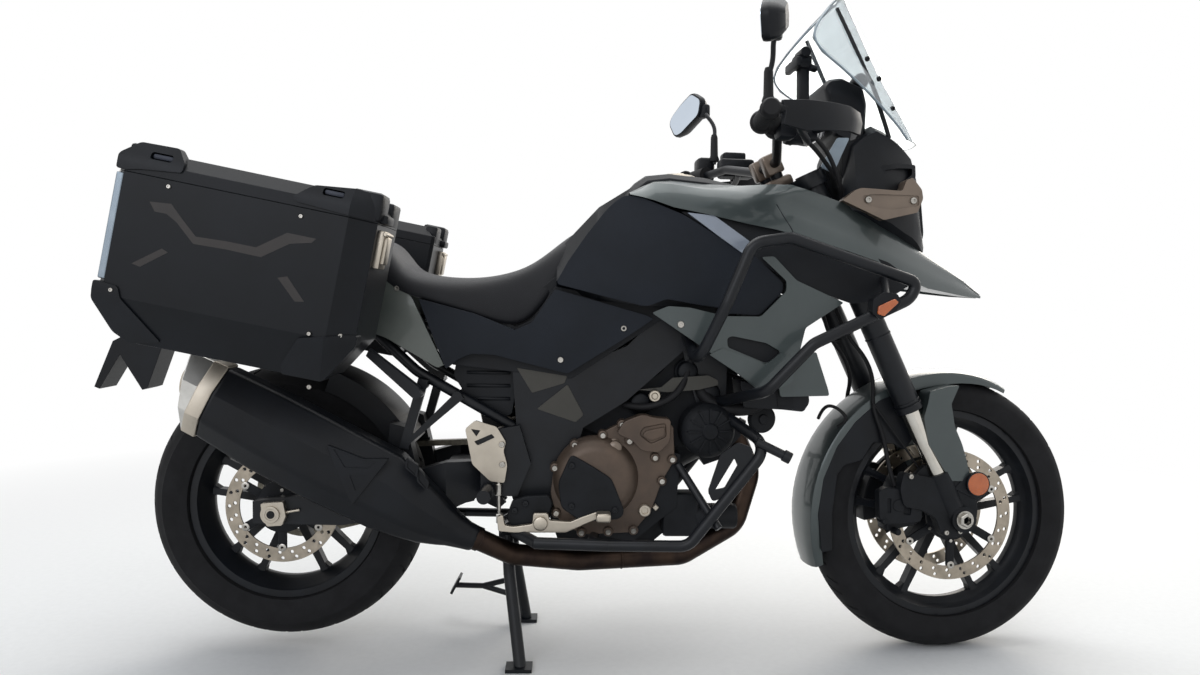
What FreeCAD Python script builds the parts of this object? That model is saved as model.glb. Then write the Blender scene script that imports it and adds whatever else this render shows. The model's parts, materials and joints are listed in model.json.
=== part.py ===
import FreeCAD, Part

import math
import os

import Sketcher
from FreeCAD import Placement, Rotation, Vector

# Adventure motorcycle on its centre stand, with the front wheel turned a little to the left.
# X points forwards, Y to the left and Z up, and the ground is at Z = 0.

os.makedirs("parts", exist_ok=True)
doc = FreeCAD.newDocument("AdventureMotorcycle")
sheet = doc.addObject("Spreadsheet::Sheet", "sizes")

# Driving dimensions in millimetres and degrees: name, value, meaning
DRIVING = [
    ("wheelbase", 1568, "between the two axles"),
    ("rear_axle_x", -724, "rear axle, behind the middle of the whole length"),
    ("front_tyre_radius", 329, "110/80 R19 tyre"),
    ("front_tyre_width", 110, "110/80 R19 tyre"),
    ("rear_tyre_radius", 321, "150/70 R17 tyre"),
    ("rear_tyre_width", 150, "150/70 R17 tyre"),
    ("rear_tyre_lift", 35, "rear tyre above the ground on the centre stand"),
    ("front_tyre_height", 88, "from the 19 inch rim to the tread"),
    ("rear_tyre_height", 105, "from the 17 inch rim to the tread"),
    ("front_rim_width", 76, "between the outer faces of the flanges"),
    ("rear_rim_width", 112, "between the outer faces of the flanges"),
    ("tyre_wall", 9, "thickness of the tyre"),
    ("rake", 25, "steering axis from the vertical"),
    ("steering_offset", 43, "front axle ahead of the steering axis"),
    ("parked_steer", 6.75, "front wheel turned left as it stands"),
    ("leg_offset", 40, "fork legs ahead of the steering axis"),
    ("leg_spacing", 204, "between the fork legs"),
    ("outer_tube_radius", 29, "fork outer tube"),
    ("inner_tube_radius", 21.5, "fork inner tube"),
    ("outer_tube_low", 289, "lower end of the outer tubes, along the axis"),
    ("leg_top", 884, "upper end of the fork legs, along the axis"),
    ("lower_clamp_at", 622, "underside of the lower clamp, along the axis"),
    ("upper_clamp_at", 850, "underside of the upper clamp, along the axis"),
    ("clamp_thickness", 30, "both clamps"),
    ("stem_radius", 15, "steering stem"),
    ("head_tube_radius", 32, "steering head of the frame"),
    ("running_gap", 0.3, "a shaft in its bore, all round"),
    ("seat_gap", 0.3, "the soft seat from the panels round it"),
    ("front_disc_radius", 155, "310 mm disc"),
    ("rear_disc_radius", 130, "260 mm disc"),
    ("disc_thickness", 5, "brake discs"),
    ("axle_radius", 12, "both axles"),
    ("axle_bore", 8, "radius of the bore through the front axle"),
    ("axle_foot", 28, "outer end of the front axle beyond the middle of each leg"),
    ("hub_radius", 34, "both hubs"),
    ("front_hub_width", 120, "between the faces that carry the discs"),
    ("rear_hub_width", 168, "between the faces that carry disc and sprocket"),
    ("spoke_pairs", 5, "pairs of spokes of each wheel"),
    ("spoke_width", 15, "each spoke, seen from the side"),
    ("spoke_depth", 26, "each spoke, across the wheel"),
    ("pivot_x", -150, "swingarm pivot"),
    ("pivot_z", 437, "swingarm pivot"),
    ("pivot_radius", 24, "pivot tube of the swingarm"),
    ("arm_inner", 118, "inner face of each swingarm leg from the middle"),
    ("arm_thickness", 34, "each swingarm leg, across"),
    ("sprocket_radius", 108, "pitch radius of the rear sprocket"),
    ("drive_radius", 43, "pitch radius of the front sprocket"),
    ("drive_x", -78, "front sprocket"),
    ("drive_z", 446, "front sprocket"),
    ("crank_x", 60, "crankshaft"),
    ("crank_z", 430, "crankshaft"),
    ("crankcase_half_width", 150, "crankcase from the middle"),
    ("cylinder_radius", 62, "outside of each barrel"),
    ("cylinder_height", 190, "from the crankcase to the top of the head cover"),
    ("stand_x", -170, "feet of the centre stand"),
    ("stand_half", 157, "each foot of the centre stand from the middle"),
    ("stand_pivot_x", -207, "hinge of the centre stand"),
    ("stand_pivot_z", 285, "hinge of the centre stand"),
    ("stand_tube_radius", 14, "legs of the centre stand"),
    ("pannier_length", 475, "pannier along the machine"),
    ("pannier_depth", 237, "pannier across the machine"),
    ("pannier_inner", 250, "inner face of each pannier from the middle"),
    ("pannier_body_height", 312, "pannier below the joint with its lid"),
    ("lid_height", 46, "pannier lid"),
    ("pannier_wall", 2.5, "sheet of pannier and lid"),
    ("pannier_front_x", -430, "top front corner of the pannier body"),
    ("pannier_front_z", 979, "top front corner of the pannier body"),
    ("hinge_out", 6, "lid hinge behind the pannier"),
    ("hinge_pin_radius", 2.5, "lid hinge"),
    ("carrier_hole", 3.3, "radius of the holes in the rear carrier"),
    ("pannier_pitch", 11.1, "nose-down tilt of the panniers"),
    ("lid_gap", 0.4, "lid above the pannier"),
    ("bar_half_width", 447, "end of each grip from the middle"),
    ("bar_radius", 11, "handlebar at the grips"),
    ("crash_bar_radius", 12.5, "engine guard tube"),
    ("rack_radius", 9, "pannier rack tube"),
    ("rail_radius", 13, "subframe tube"),
    ("panel_thickness", 6, "painted and moulded panels"),
    ("spar_inner", 98, "inner face of each frame spar from the middle"),
    ("spar_thickness", 38, "each frame spar, across"),
]
for row, (alias, value, meaning) in enumerate(DRIVING, start=1):
    sheet.set(f"A{row}", meaning)
    sheet.set(f"B{row}", str(value))
    sheet.setAlias(f"B{row}", alias)
doc.recompute()


class Size:
    """A length that carries its value and the sheet expression that gives it."""

    def __init__(self, value, text):
        self.value = value
        self.text = text

    def __float__(self):
        return float(self.value)

    def __add__(self, other):
        return Size(self.value + float(other), f"({self.text} + {text_of(other)})")

    def __radd__(self, other):
        return Size(float(other) + self.value, f"({text_of(other)} + {self.text})")

    def __sub__(self, other):
        return Size(self.value - float(other), f"({self.text} - {text_of(other)})")

    def __rsub__(self, other):
        return Size(float(other) - self.value, f"({text_of(other)} - {self.text})")

    def __mul__(self, other):
        return Size(self.value * float(other), f"({self.text} * {text_of(other)})")

    def __rmul__(self, other):
        return Size(float(other) * self.value, f"({text_of(other)} * {self.text})")

    def __truediv__(self, other):
        return Size(self.value / float(other), f"({self.text} / {text_of(other)})")

    def __neg__(self):
        return Size(-self.value, f"(0 - {self.text})")


def text_of(length):
    return length.text if isinstance(length, Size) else repr(float(length))


def size(alias):
    return Size(float(sheet.get(alias)), f"sizes.{alias}")


def point(x, y, z):
    return Vector(float(x), float(y), float(z))


SUBPARTS = []


def keep(thing, label, placement=None):
    """Name an object as one sub-part and put it in its place."""
    thing.Label = label
    if placement is not None:
        thing.Placement = placement
    SUBPARTS.append(thing)
    return thing


def bind(thing, name, length):
    if isinstance(length, Size):
        thing.setExpression(name, length.text)
    else:
        setattr(thing, name, length)


# Sketches

def new_body(label):
    return doc.addObject("PartDesign::Body", label + "_body")


def sketch_on(body, role, offset=0):
    """An empty sketch on one of the body's own planes, moved along the plane's normal."""
    sketch = body.newObject("Sketcher::SketchObject", body.Name + "_sketch")
    plane = [each for each in body.Origin.OriginFeatures if each.Role == role][0]
    sketch.AttachmentSupport = [(plane, "")]
    sketch.MapMode = "FlatFace"
    if isinstance(offset, Size):
        sketch.AttachmentOffset = Placement(Vector(0, 0, offset.value), Rotation())
        sketch.setExpression("AttachmentOffset.Base.z", offset.text)
    elif offset:
        sketch.AttachmentOffset = Placement(Vector(0, 0, offset), Rotation())
    return sketch


def pin_point(sketch, geometry, end, across, up):
    for kind, length in (("DistanceX", across), ("DistanceY", up)):
        index = sketch.addConstraint(
            Sketcher.Constraint(kind, -1, 1, geometry, end, float(length)))
        if isinstance(length, Size):
            sketch.setExpression(f"Constraints[{index}]", length.text)


def draw_outline(sketch, corners):
    """Closed outline of lines and arcs. A corner is (across, up) or (across, up, radius):
    the radius makes the edge that follows an arc, turning left where it is positive."""
    first = sketch.GeometryCount
    count = len(corners)
    for number, corner in enumerate(corners):
        start = Vector(float(corner[0]), float(corner[1]), 0)
        following = corners[(number + 1) % count]
        end = Vector(float(following[0]), float(following[1]), 0)
        if len(corner) == 2:
            sketch.addGeometry(Part.LineSegment(start, end), False)
            continue
        radius = float(corner[2])
        chord = end - start
        rise = math.sqrt(max(radius * radius - chord.Length ** 2 / 4, 0))
        left = Vector(-chord.y, chord.x, 0).normalize()
        centre = (start + end) * 0.5 + left * (rise if radius > 0 else -rise)
        begin, finish = (start, end) if radius > 0 else (end, start)
        angles = [math.atan2(each.y - centre.y, each.x - centre.x) for each in (begin, finish)]
        if angles[1] < angles[0]:
            angles[1] += 2 * math.pi
        circle = Part.Circle(centre, Vector(0, 0, 1), abs(radius))
        sketch.addGeometry(Part.ArcOfCircle(circle, angles[0], angles[1]), False)
    turned = [len(corner) == 3 and float(corner[2]) < 0 for corner in corners]
    for number in range(count):
        after = (number + 1) % count
        leaving = 1 if turned[number] else 2
        arriving = 2 if turned[after] else 1
        sketch.addConstraint(Sketcher.Constraint(
            "Coincident", first + number, leaving, first + after, arriving))
    for number, corner in enumerate(corners):
        pin_point(sketch, first + number, 2 if turned[number] else 1, corner[0], corner[1])
        if len(corner) == 3:
            index = sketch.addConstraint(
                Sketcher.Constraint("Radius", first + number, abs(float(corner[2]))))
            if isinstance(corner[2], Size):
                bare = corner[2] if not turned[number] else -corner[2]
                sketch.setExpression(f"Constraints[{index}]", bare.text)


def draw_circle(sketch, across, up, radius):
    number = sketch.addGeometry(Part.Circle(
        Vector(float(across), float(up), 0), Vector(0, 0, 1), float(radius)), False)
    pin_point(sketch, number, 3, across, up)
    index = sketch.addConstraint(Sketcher.Constraint("Radius", number, float(radius)))
    if isinstance(radius, Size):
        sketch.setExpression(f"Constraints[{index}]", radius.text)


def add_pad(body, role, low, high, outline=None, circles=()):
    """A pad of an outline, or of circles, between two planes. Along the XZ plane's
    normal Y falls, so there the sketch lies on the higher one."""
    base = -high if role == "XZ_Plane" else low
    sketch = sketch_on(body, role, base if isinstance(base, Size) else float(base))
    if outline:
        draw_outline(sketch, outline)
    for circle in circles:
        draw_circle(sketch, *circle)
    pad = body.newObject("PartDesign::Pad", body.Name + "_pad")
    pad.Profile = sketch
    bind(pad, "Length", high - low)
    return pad


def add_pocket(body, role, low, high, outline=None, circles=()):
    """The same between two planes, taken away."""
    base = -high if role == "XZ_Plane" else low
    sketch = sketch_on(body, role, base if isinstance(base, Size) else float(base))
    if outline:
        draw_outline(sketch, outline)
    for circle in circles:
        draw_circle(sketch, *circle)
    pocket = body.newObject("PartDesign::Pocket", body.Name + "_pocket")
    pocket.Profile = sketch
    pocket.Reversed = True
    bind(pocket, "Length", high - low)
    return pocket


def add_revolution(body, outline):
    """A ring about Y: across is the radius and up is the place along Y."""
    sketch = sketch_on(body, "XY_Plane")
    draw_outline(sketch, outline)
    ring = body.newObject("PartDesign::Revolution", body.Name + "_ring")
    ring.Profile = sketch
    ring.ReferenceAxis = (sketch, ["V_Axis"])
    ring.Angle = 360
    return ring


def add_round_pattern(body, features, count):
    """Copies of features about Y."""
    pattern = body.newObject("PartDesign::PolarPattern", body.Name + "_pattern")
    pattern.Originals = features
    axis = [each for each in body.Origin.OriginFeatures if each.Role == "Y_Axis"][0]
    pattern.Axis = (axis, [""])
    pattern.Angle = 360
    bind(pattern, "Occurrences", count)
    body.Tip = pattern
    return pattern


# Shapes for what sketches cannot give

def box(x0, x1, y0, y1, z0, z1):
    return Part.makeBox(float(x1) - float(x0), float(y1) - float(y0), float(z1) - float(z0),
                        point(x0, y0, z0))


def rod(start, end, radius):
    return Part.makeCylinder(float(radius), (end - start).Length, start, end - start)


def bent_tube(points, radius, bend):
    """A tube of straight runs joined by arcs. No arc takes over 0.45 of a run beside it."""
    edges = []
    at = points[0]
    for before, corner, after in zip(points, points[1:], points[2:]):
        into = (corner - before).normalize()
        out = (after - corner).normalize()
        half = into.getAngle(out) / 2
        shorter = min((corner - before).Length, (after - corner).Length)
        reach = min(float(bend) * math.tan(half), 0.45 * shorter)
        start = corner - into * reach
        end = corner + out * reach
        bisector = (out - into).normalize()
        arc_radius = reach / math.tan(half)
        middle = corner + bisector * (arc_radius / math.cos(half) - arc_radius)
        edges.append(Part.makeLine(at, start))
        edges.append(Part.Arc(start, middle, end).toShape())
        at = end
    edges.append(Part.makeLine(at, points[-1]))
    path = Part.Wire(edges)
    ring = Part.Wire(Part.makeCircle(float(radius), points[0], points[1] - points[0]))
    return path.makePipe(Part.Face(ring))


def prism(corners, y0, y1):
    """Outline of (x, z) corners between two planes across the machine."""
    ring = [point(x, y0, z) for x, z in corners]
    return Part.Face(Part.makePolygon(ring + ring[:1])).extrude(point(0, y1 - y0, 0))


def loft(sections):
    """Solid through closed polygons with the same number of corners."""
    wires = [Part.makePolygon(list(each) + [each[0]]) for each in sections]
    return Part.makeLoft(wires, True, True)


def both_sides(shape):
    """The shape and its mirror image across the machine's middle plane."""
    return Part.Compound([shape, shape.mirror(Vector(), Vector(0, 1, 0))])


def joined(shapes):
    whole = shapes[0].fuse(shapes[1:])
    return whole.removeSplitter()


def shape_part(label, shape, placement=None):
    thing = doc.addObject("Part::Feature", label)
    thing.Shape = shape
    return keep(thing, label, placement)


def ring_sector(centre, inner, outer, y0, y1, start, end):
    """Part of a ring about an axle: angles run from forwards, upwards."""
    ring = [(inner, y0), (outer, y0), (outer, y1), (inner, y1)]
    wire = Part.makePolygon([centre + point(r, y, 0) for r, y in ring + ring[:1]])
    face = Part.Face(wire)
    face.rotate(centre, Vector(0, 1, 0), -start)
    return face.revolve(centre, Vector(0, -1, 0), end - start)


# Steering geometry: `along` runs up the steering axis from the foot of the perpendicular
# that the front axle drops on it, `ahead` is square to it in the middle plane

rake = math.radians(float(size("rake")))
steer_up = Vector(-math.sin(rake), 0, math.cos(rake))
steer_ahead = Vector(math.cos(rake), 0, math.sin(rake))
crown_radius = float(size("front_tyre_width")) / 2
lean = math.sin(math.radians(float(size("parked_steer")))) * math.sin(rake)
ring_radius = float(size("front_tyre_radius")) - crown_radius
turn_drop = float(size("steering_offset")) * math.sin(rake) * (
    1 - math.cos(math.radians(float(size("parked_steer")))))
front_axle = point(size("rear_axle_x") + size("wheelbase"), 0,
                   crown_radius + ring_radius * math.sqrt(1 - lean * lean) + turn_drop)
rear_axle = point(size("rear_axle_x"), 0, size("rear_tyre_radius") + size("rear_tyre_lift"))
steer_foot = front_axle - steer_ahead * float(size("steering_offset"))
steered = Placement(Vector(), Rotation(steer_up, float(size("parked_steer"))), steer_foot)


def on_fork(along, ahead=0, side=0):
    return (steer_foot + steer_up * float(along) + steer_ahead * float(ahead)
            + Vector(0, float(side), 0))


head_top = on_fork(size("upper_clamp_at") - 3)
head_low = on_fork(size("lower_clamp_at") + size("clamp_thickness") + 3)
head_x = (head_top.x + head_low.x) / 2
leg_reach = math.hypot(float(size("leg_offset")), float(size("leg_spacing")) / 2)
sweep_radius = leg_reach + float(size("outer_tube_radius")) + 16
fork_sweep = rod(on_fork(180), on_fork(size("leg_top") + 30), sweep_radius)

# The bodywork's tables are drawn for these places, and keep with the real ones
DRAWN_AXLE_X = -724
DRAWN_PIVOT_X = -150
DRAWN_HEAD_X = 487.64
DRAWN_FRONT_RADIUS = 329
pivot = point(size("pivot_x"), 0, size("pivot_z"))


def along(x):
    """Where a place drawn at x lies: the nose keeps with the steering head, and what is
    between the head, the swingarm pivot and the rear axle spreads with them."""
    if x >= DRAWN_HEAD_X:
        return x + head_x - DRAWN_HEAD_X
    if x >= DRAWN_PIVOT_X:
        share = (x - DRAWN_PIVOT_X) / (DRAWN_HEAD_X - DRAWN_PIVOT_X)
        return pivot.x + share * (head_x - pivot.x)
    share = (x - DRAWN_AXLE_X) / (DRAWN_PIVOT_X - DRAWN_AXLE_X)
    return rear_axle.x + share * (pivot.x - rear_axle.x)


def lift(x):
    """Rise of the bodywork with a bigger front wheel: none behind the pivot."""
    share = (x - DRAWN_PIVOT_X) / (DRAWN_HEAD_X - DRAWN_PIVOT_X)
    growth = float(size("front_tyre_radius")) - DRAWN_FRONT_RADIUS
    return growth * min(max(share, 0), 1)


def spot(x, y, z):
    return Vector(along(x), y, z + lift(x))


def panel(corners, y0, y1):
    """A prism of the bodywork, from drawn (x, z) corners."""
    return prism([(along(x), z + lift(x)) for x, z in corners], y0, y1)


nose_shift = spot(DRAWN_HEAD_X, 0, 0) - Vector(DRAWN_HEAD_X, 0, 0)


# Wheels

def rim_body(label, bead, width, hub_width, placement):
    """Cast wheel: rim with a drop centre, hub, and paired spokes."""
    body = new_body(label)
    half = width / 2
    add_revolution(body, [
        (bead - 30, -8), (bead - 14, 14 - half), (bead - 8, -half), (bead + 8, -half),
        (bead + 8, 4 - half), (bead, 8 - half), (bead - 4, 16 - half), (bead - 20, -10),
        (bead - 20, 10), (bead - 4, half - 16), (bead, half - 8), (bead + 8, half - 4),
        (bead + 8, half), (bead - 8, half), (bead - 14, half - 14), (bead - 30, 8)])
    add_revolution(body, [
        (size("axle_radius") + size("running_gap"), -hub_width / 2),
        (size("hub_radius") + 8, -hub_width / 2),
        (size("hub_radius") + 8, 8 - hub_width / 2),
        (size("hub_radius"), 16 - hub_width / 2),
        (size("hub_radius"), hub_width / 2 - 16),
        (size("hub_radius") + 8, hub_width / 2 - 8),
        (size("hub_radius") + 8, hub_width / 2),
        (size("axle_radius") + size("running_gap"), hub_width / 2)])
    foot = size("hub_radius") - 4
    root = 9
    splay = 34
    wide = size("spoke_width")
    tip = bead - 24
    arm = add_pad(body, "XZ_Plane", -size("spoke_depth") / 2, size("spoke_depth") / 2, [
        (root - 7, foot), (root + wide, foot), (splay + wide, tip), (splay, tip)])
    twin = add_pad(body, "XZ_Plane", -size("spoke_depth") / 2, size("spoke_depth") / 2, [
        (-root - wide, foot), (7 - root, foot), (-splay, tip), (-splay - wide, tip)])
    add_round_pattern(body, [arm, twin], size("spoke_pairs"))
    return keep(body, label, placement)


def tyre_body(label, radius, width, bead, rim_width, placement):
    """Tyre as a hollow horseshoe section whose beads sit on the rim's seats."""
    body = new_body(label)
    half = width / 2
    seat = rim_width / 2 - 8
    wall = size("tyre_wall")
    shoulder = radius - width * 0.22
    bulge = radius - width * 0.45
    add_revolution(body, [
        (bead, -seat), (bead + 9, -seat - 0.5), (bulge - 6, -half), (shoulder, 5 - half),
        (radius - 6, -half * 0.5), (radius, -6), (radius, 6), (radius - 6, half * 0.5),
        (shoulder, half - 5), (bulge - 6, half), (bead + 9, seat + 0.5), (bead, seat),
        (bead, seat - wall), (bead + 14, seat - wall + 1), (bulge - 6, half - wall),
        (shoulder - 6, half - wall - 6), (radius - wall - 5, half * 0.4),
        (radius - wall - 5, -half * 0.4), (shoulder - 6, wall + 6 - half),
        (bulge - 6, wall - half), (bead + 14, wall - 1 - seat), (bead, wall - seat)])
    return keep(body, label, placement)


def disc_at(label, radius, middle):
    """Brake disc with its carrier, a hoop of holes and a wide bore round the hub."""
    body = new_body(label)
    thick = size("disc_thickness")
    low = middle - thick / 2
    high = middle + thick / 2
    band = 32
    add_pad(body, "XZ_Plane", low, high, circles=[(0, 0, radius), (0, 0, radius - band)])
    add_pad(body, "XZ_Plane", low, high,
            circles=[(0, 0, size("hub_radius") + 26), (0, 0, size("hub_radius") - 6)])
    arm = add_pad(body, "XZ_Plane", low, high, [
        (-9, size("hub_radius") + 24), (9, size("hub_radius") + 24),
        (9, radius - band + 4), (-9, radius - band + 4)])
    add_round_pattern(body, [arm], 6)
    hole = add_pocket(body, "XZ_Plane", low, high, circles=[(0, radius - 9, 4)])
    second = add_pocket(body, "XZ_Plane", low, high, circles=[(7, radius - 22, 4)])
    add_round_pattern(body, [hole, second], 24)
    return body


front_bead = size("front_tyre_radius") - size("front_tyre_height")
rear_bead = size("rear_tyre_radius") - size("rear_tyre_height")
front_wheel_at = steered.multiply(Placement(front_axle, Rotation()))
rear_wheel_at = Placement(rear_axle, Rotation())
rim_body("front_rim", front_bead, size("front_rim_width"),
         size("front_hub_width"), front_wheel_at)
rim_body("rear_rim", rear_bead, size("rear_rim_width"),
         size("rear_hub_width"), rear_wheel_at)
tyre_body("front_tyre", size("front_tyre_radius"), size("front_tyre_width"),
          front_bead, size("front_rim_width"), front_wheel_at)
tyre_body("rear_tyre", size("rear_tyre_radius"), size("rear_tyre_width"),
          rear_bead, size("rear_rim_width"), rear_wheel_at)
front_disc_middle = size("front_hub_width") / 2 + size("disc_thickness") / 2
rear_disc_middle = -size("rear_hub_width") / 2 - size("disc_thickness") / 2
right_disc = disc_at("front_disc_right", size("front_disc_radius"), -front_disc_middle)
left_disc = disc_at("front_disc_left", size("front_disc_radius"), front_disc_middle)
front_discs = doc.addObject("Part::Compound", "front_discs")
front_discs.Links = [right_disc, left_disc]
keep(front_discs, "front_discs", front_wheel_at)
keep(disc_at("rear_disc", size("rear_disc_radius"), rear_disc_middle), "rear_disc",
     rear_wheel_at)


def sprocket():
    """Rear sprocket with trimmed teeth, so that it turns inside the standing chain."""
    body = new_body("rear_sprocket")
    low = size("rear_hub_width") / 2
    high = low + 7
    tip = size("sprocket_radius") - 7
    add_pad(body, "XZ_Plane", low, high, circles=[(0, 0, tip - 6), (0, 0, size("hub_radius"))])
    tooth = add_pad(body, "XZ_Plane", low, high,
                    [(-4, tip - 8), (4, tip - 8), (2, tip), (-2, tip)])
    add_round_pattern(body, [tooth], 41)
    window = add_pocket(body, "XZ_Plane", low, high,
                        circles=[(0, (tip + size("hub_radius")) / 2, 15)])
    add_round_pattern(body, [window], 8)
    return keep(body, "rear_sprocket", rear_wheel_at)


sprocket()
doc.recompute()


# Fork and handlebar, all built straight ahead and turned together

def fork_leg(side):
    reach = size("leg_spacing") / 2 * side
    outer = rod(on_fork(size("outer_tube_low"), size("leg_offset"), reach),
                on_fork(size("leg_top"), size("leg_offset"), reach), size("outer_tube_radius"))
    bore = rod(on_fork(size("outer_tube_low") - 1, size("leg_offset"), reach),
               on_fork(size("outer_tube_low") + 60, size("leg_offset"), reach),
               size("inner_tube_radius"))
    return outer.cut(bore)


def clamp_plate(at):
    """One triple clamp: a web from leg to leg round the stem, with a boss at each leg."""
    reach = float(size("leg_spacing")) / 2
    thick = float(size("clamp_thickness"))
    low = on_fork(at)
    high = on_fork(float(at) + thick)
    boss = float(size("outer_tube_radius")) + 10
    pieces = [Part.makeCylinder(float(size("head_tube_radius")) + 4, thick, low, steer_up)]
    for side in (-reach, reach):
        foot = on_fork(at, size("leg_offset"), side)
        pieces.append(Part.makeCylinder(boss, thick, foot, steer_up))
    ring = [on_fork(at, -26, -24), on_fork(at, 8, -reach), on_fork(at, 64, -reach),
            on_fork(at, 40, 0), on_fork(at, 64, reach), on_fork(at, 8, reach),
            on_fork(at, -26, 24)]
    web = Part.Face(Part.makePolygon(ring + ring[:1])).extrude(high - low)
    plate = joined(pieces + [web])
    for side in (-reach, reach):
        plate = plate.cut(Part.makeCylinder(float(size("outer_tube_radius")), thick * 3,
                                            on_fork(float(at) - thick, size("leg_offset"), side),
                                            steer_up))
    return plate


upper = clamp_plate(size("upper_clamp_at"))
lower = clamp_plate(size("lower_clamp_at"))
stem = rod(on_fork(size("lower_clamp_at") + 5), on_fork(size("upper_clamp_at") + 25),
           size("stem_radius"))
shape_part("triple_clamps", joined([upper, lower, stem]), steered)
fork_tubes_shape = Part.Compound([fork_leg(-1), fork_leg(1)])
shape_part("fork_tubes", fork_tubes_shape, steered)


def fork_lower(side):
    """Sliding tube, its foot with the axle clamp and the tube's guard."""
    reach = float(size("leg_spacing")) / 2 * side
    slider = rod(on_fork(70, size("leg_offset"), reach),
                 on_fork(size("outer_tube_low") + 59, size("leg_offset"), reach),
                 size("inner_tube_radius"))
    foot = rod(on_fork(-8, size("leg_offset") - 4, reach), on_fork(120, size("leg_offset"), reach),
               size("inner_tube_radius") + 6)
    clamp = rod(front_axle + Vector(0, reach - 24 * side, 0),
                front_axle + Vector(0, reach + float(size("axle_foot")) * side, 0), 30)
    return [slider, foot, clamp]


axle_reach = float(size("leg_spacing")) / 2 + float(size("axle_foot"))
caliper_face = float(front_disc_middle) + 26
lug_out = 104
lugs = [ring_sector(front_axle, 96, 150, *sorted((caliper_face * side, lug_out * side)), 106, 172)
        for side in (-1, 1)]
lowers = joined(fork_lower(-1) + fork_lower(1) + lugs
                + [rod(front_axle - Vector(0, axle_reach, 0), front_axle + Vector(0, axle_reach, 0),
                       size("axle_radius"))])
lowers = lowers.cut(rod(front_axle - Vector(0, axle_reach + 1, 0),
                        front_axle + Vector(0, axle_reach + 1, 0), size("axle_bore")))
shape_part("fork_lowers", lowers, steered)


fender_centre = front_axle + Vector(-34, 0, 9)
fender_in = float(size("front_tyre_radius")) + 12
fender_half = float(size("front_tyre_width")) / 2 + 12
fender_skin = 4
fender = joined([
    ring_sector(fender_centre, fender_in, fender_in + fender_skin, -fender_half, fender_half,
                66, 197),
    ring_sector(fender_centre, fender_in - 34, fender_in + fender_skin, fender_half,
                fender_half + fender_skin, 76, 186),
    ring_sector(fender_centre, fender_in - 34, fender_in + fender_skin,
                -fender_half - fender_skin, -fender_half, 76, 186)])
pad_angle = math.radians(111)
pad_out = fender_centre + Vector(math.cos(pad_angle), 0, math.sin(pad_angle)) * (fender_in - 47)
pads = [rod(pad_out + Vector(0, 60 * side, 0), pad_out + Vector(0, 84 * side, 0), 16)
        for side in (-1, 1)]
fender = joined([fender] + pads)
shape_part("front_fender", fender.cut(lowers).cut(fork_tubes_shape), steered)


def caliper(axle, middle, inner, outer, start, end):
    """Brake caliper: a block over the disc's edge with a slot for the disc."""
    block = ring_sector(axle, inner, outer, middle - 26, middle + 26, start, end)
    slot = ring_sector(axle, 0, outer - 12, middle - 8, middle + 8, start - 5, end + 5)
    return block.cut(slot)


front_calipers = Part.Compound([
    caliper(front_axle, side * (float(front_disc_middle)), 100,
            float(size("front_disc_radius")) + 18, 146, 190) for side in (-1, 1)])
shape_part("front_calipers", front_calipers, steered)

grip_z = 1180
bar_clamp = on_fork(size("upper_clamp_at") + size("clamp_thickness") + 60, -6)
grip_x = 260
bar_half = float(size("bar_half_width"))


def bar_bend(side):
    """Where each side of the bar turns into its grip."""
    return Vector(bar_clamp.x - 40, 200 * side, grip_z + 12 + nose_shift.z)


def grip_end(side):
    return Vector(grip_x, bar_half * side, grip_z) + nose_shift


def bar_route(side):
    return [bar_clamp, bar_clamp + Vector(4, 70 * side, 0), bar_bend(side), grip_end(side)]


bar = joined([bent_tube(bar_route(side), size("bar_radius"), 60) for side in (-1, 1)])
risers = [rod(on_fork(size("upper_clamp_at") + size("clamp_thickness"), -6, 38 * side),
              bar_clamp + Vector(1.5, 38 * side, 6), 15) for side in (-1, 1)]
handlebar = joined([bar] + risers).cut(upper)
shape_part("handlebar", handlebar, steered)
grips = []
for side in (-1, 1):
    outer = grip_end(side)
    lean_in = (outer - bar_bend(side)).normalize()
    grips.append(rod(outer - lean_in * 125, outer + lean_in * 12, 17))
    grips.append(rod(outer - lean_in * 185, outer - lean_in * 130, 24))
controls = Part.Compound([joined(grips[:2]), joined(grips[2:])]).cut(handlebar)
shape_part("controls", controls, steered)
guards = []
for side in (-1, 1):
    shell = loft([
        [Vector(330, 452 * side, 1150), Vector(330, 452 * side, 1215),
         Vector(335, 446 * side, 1215), Vector(335, 446 * side, 1150)],
        [Vector(430, 420 * side, 1140), Vector(424, 420 * side, 1254),
         Vector(424, 414 * side, 1254), Vector(430, 414 * side, 1140)],
        [Vector(480, 330 * side, 1142), Vector(470, 330 * side, 1250),
         Vector(464, 330 * side, 1250), Vector(474, 330 * side, 1142)]])
    arm = bent_tube([Vector(grip_x - 16, (bar_half + 14) * side, grip_z),
                     Vector(300, 470 * side, grip_z + 2), Vector(336, 449 * side, grip_z + 2)], 6, 20)
    guards.append(joined([shell, arm]).translated(nose_shift))
shape_part("hand_guards", Part.Compound(guards).cut(controls).cut(handlebar), steered)


def mirror(side):
    base = Vector(335, 275 * side, 1190)
    top = Vector(332, 292 * side, 1340)
    head = Vector(334, 352 * side, 1366)
    stalk = bent_tube([base, top, head], 5.5, 30)
    shell = loft([
        [Vector(322, 345 * side, 1318), Vector(322, 340 * side, 1400),
         Vector(322, 450 * side, 1430), Vector(322, 452 * side, 1330)],
        [Vector(350, 360 * side, 1332), Vector(350, 356 * side, 1392),
         Vector(350, 438 * side, 1414), Vector(350, 440 * side, 1342)]])
    return joined([stalk, shell]).translated(nose_shift)


mirror_pair = Part.Compound([mirror(-1), mirror(1)]).cut(handlebar).cut(controls)
shape_part("mirrors", mirror_pair, steered)


# Frame

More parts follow.
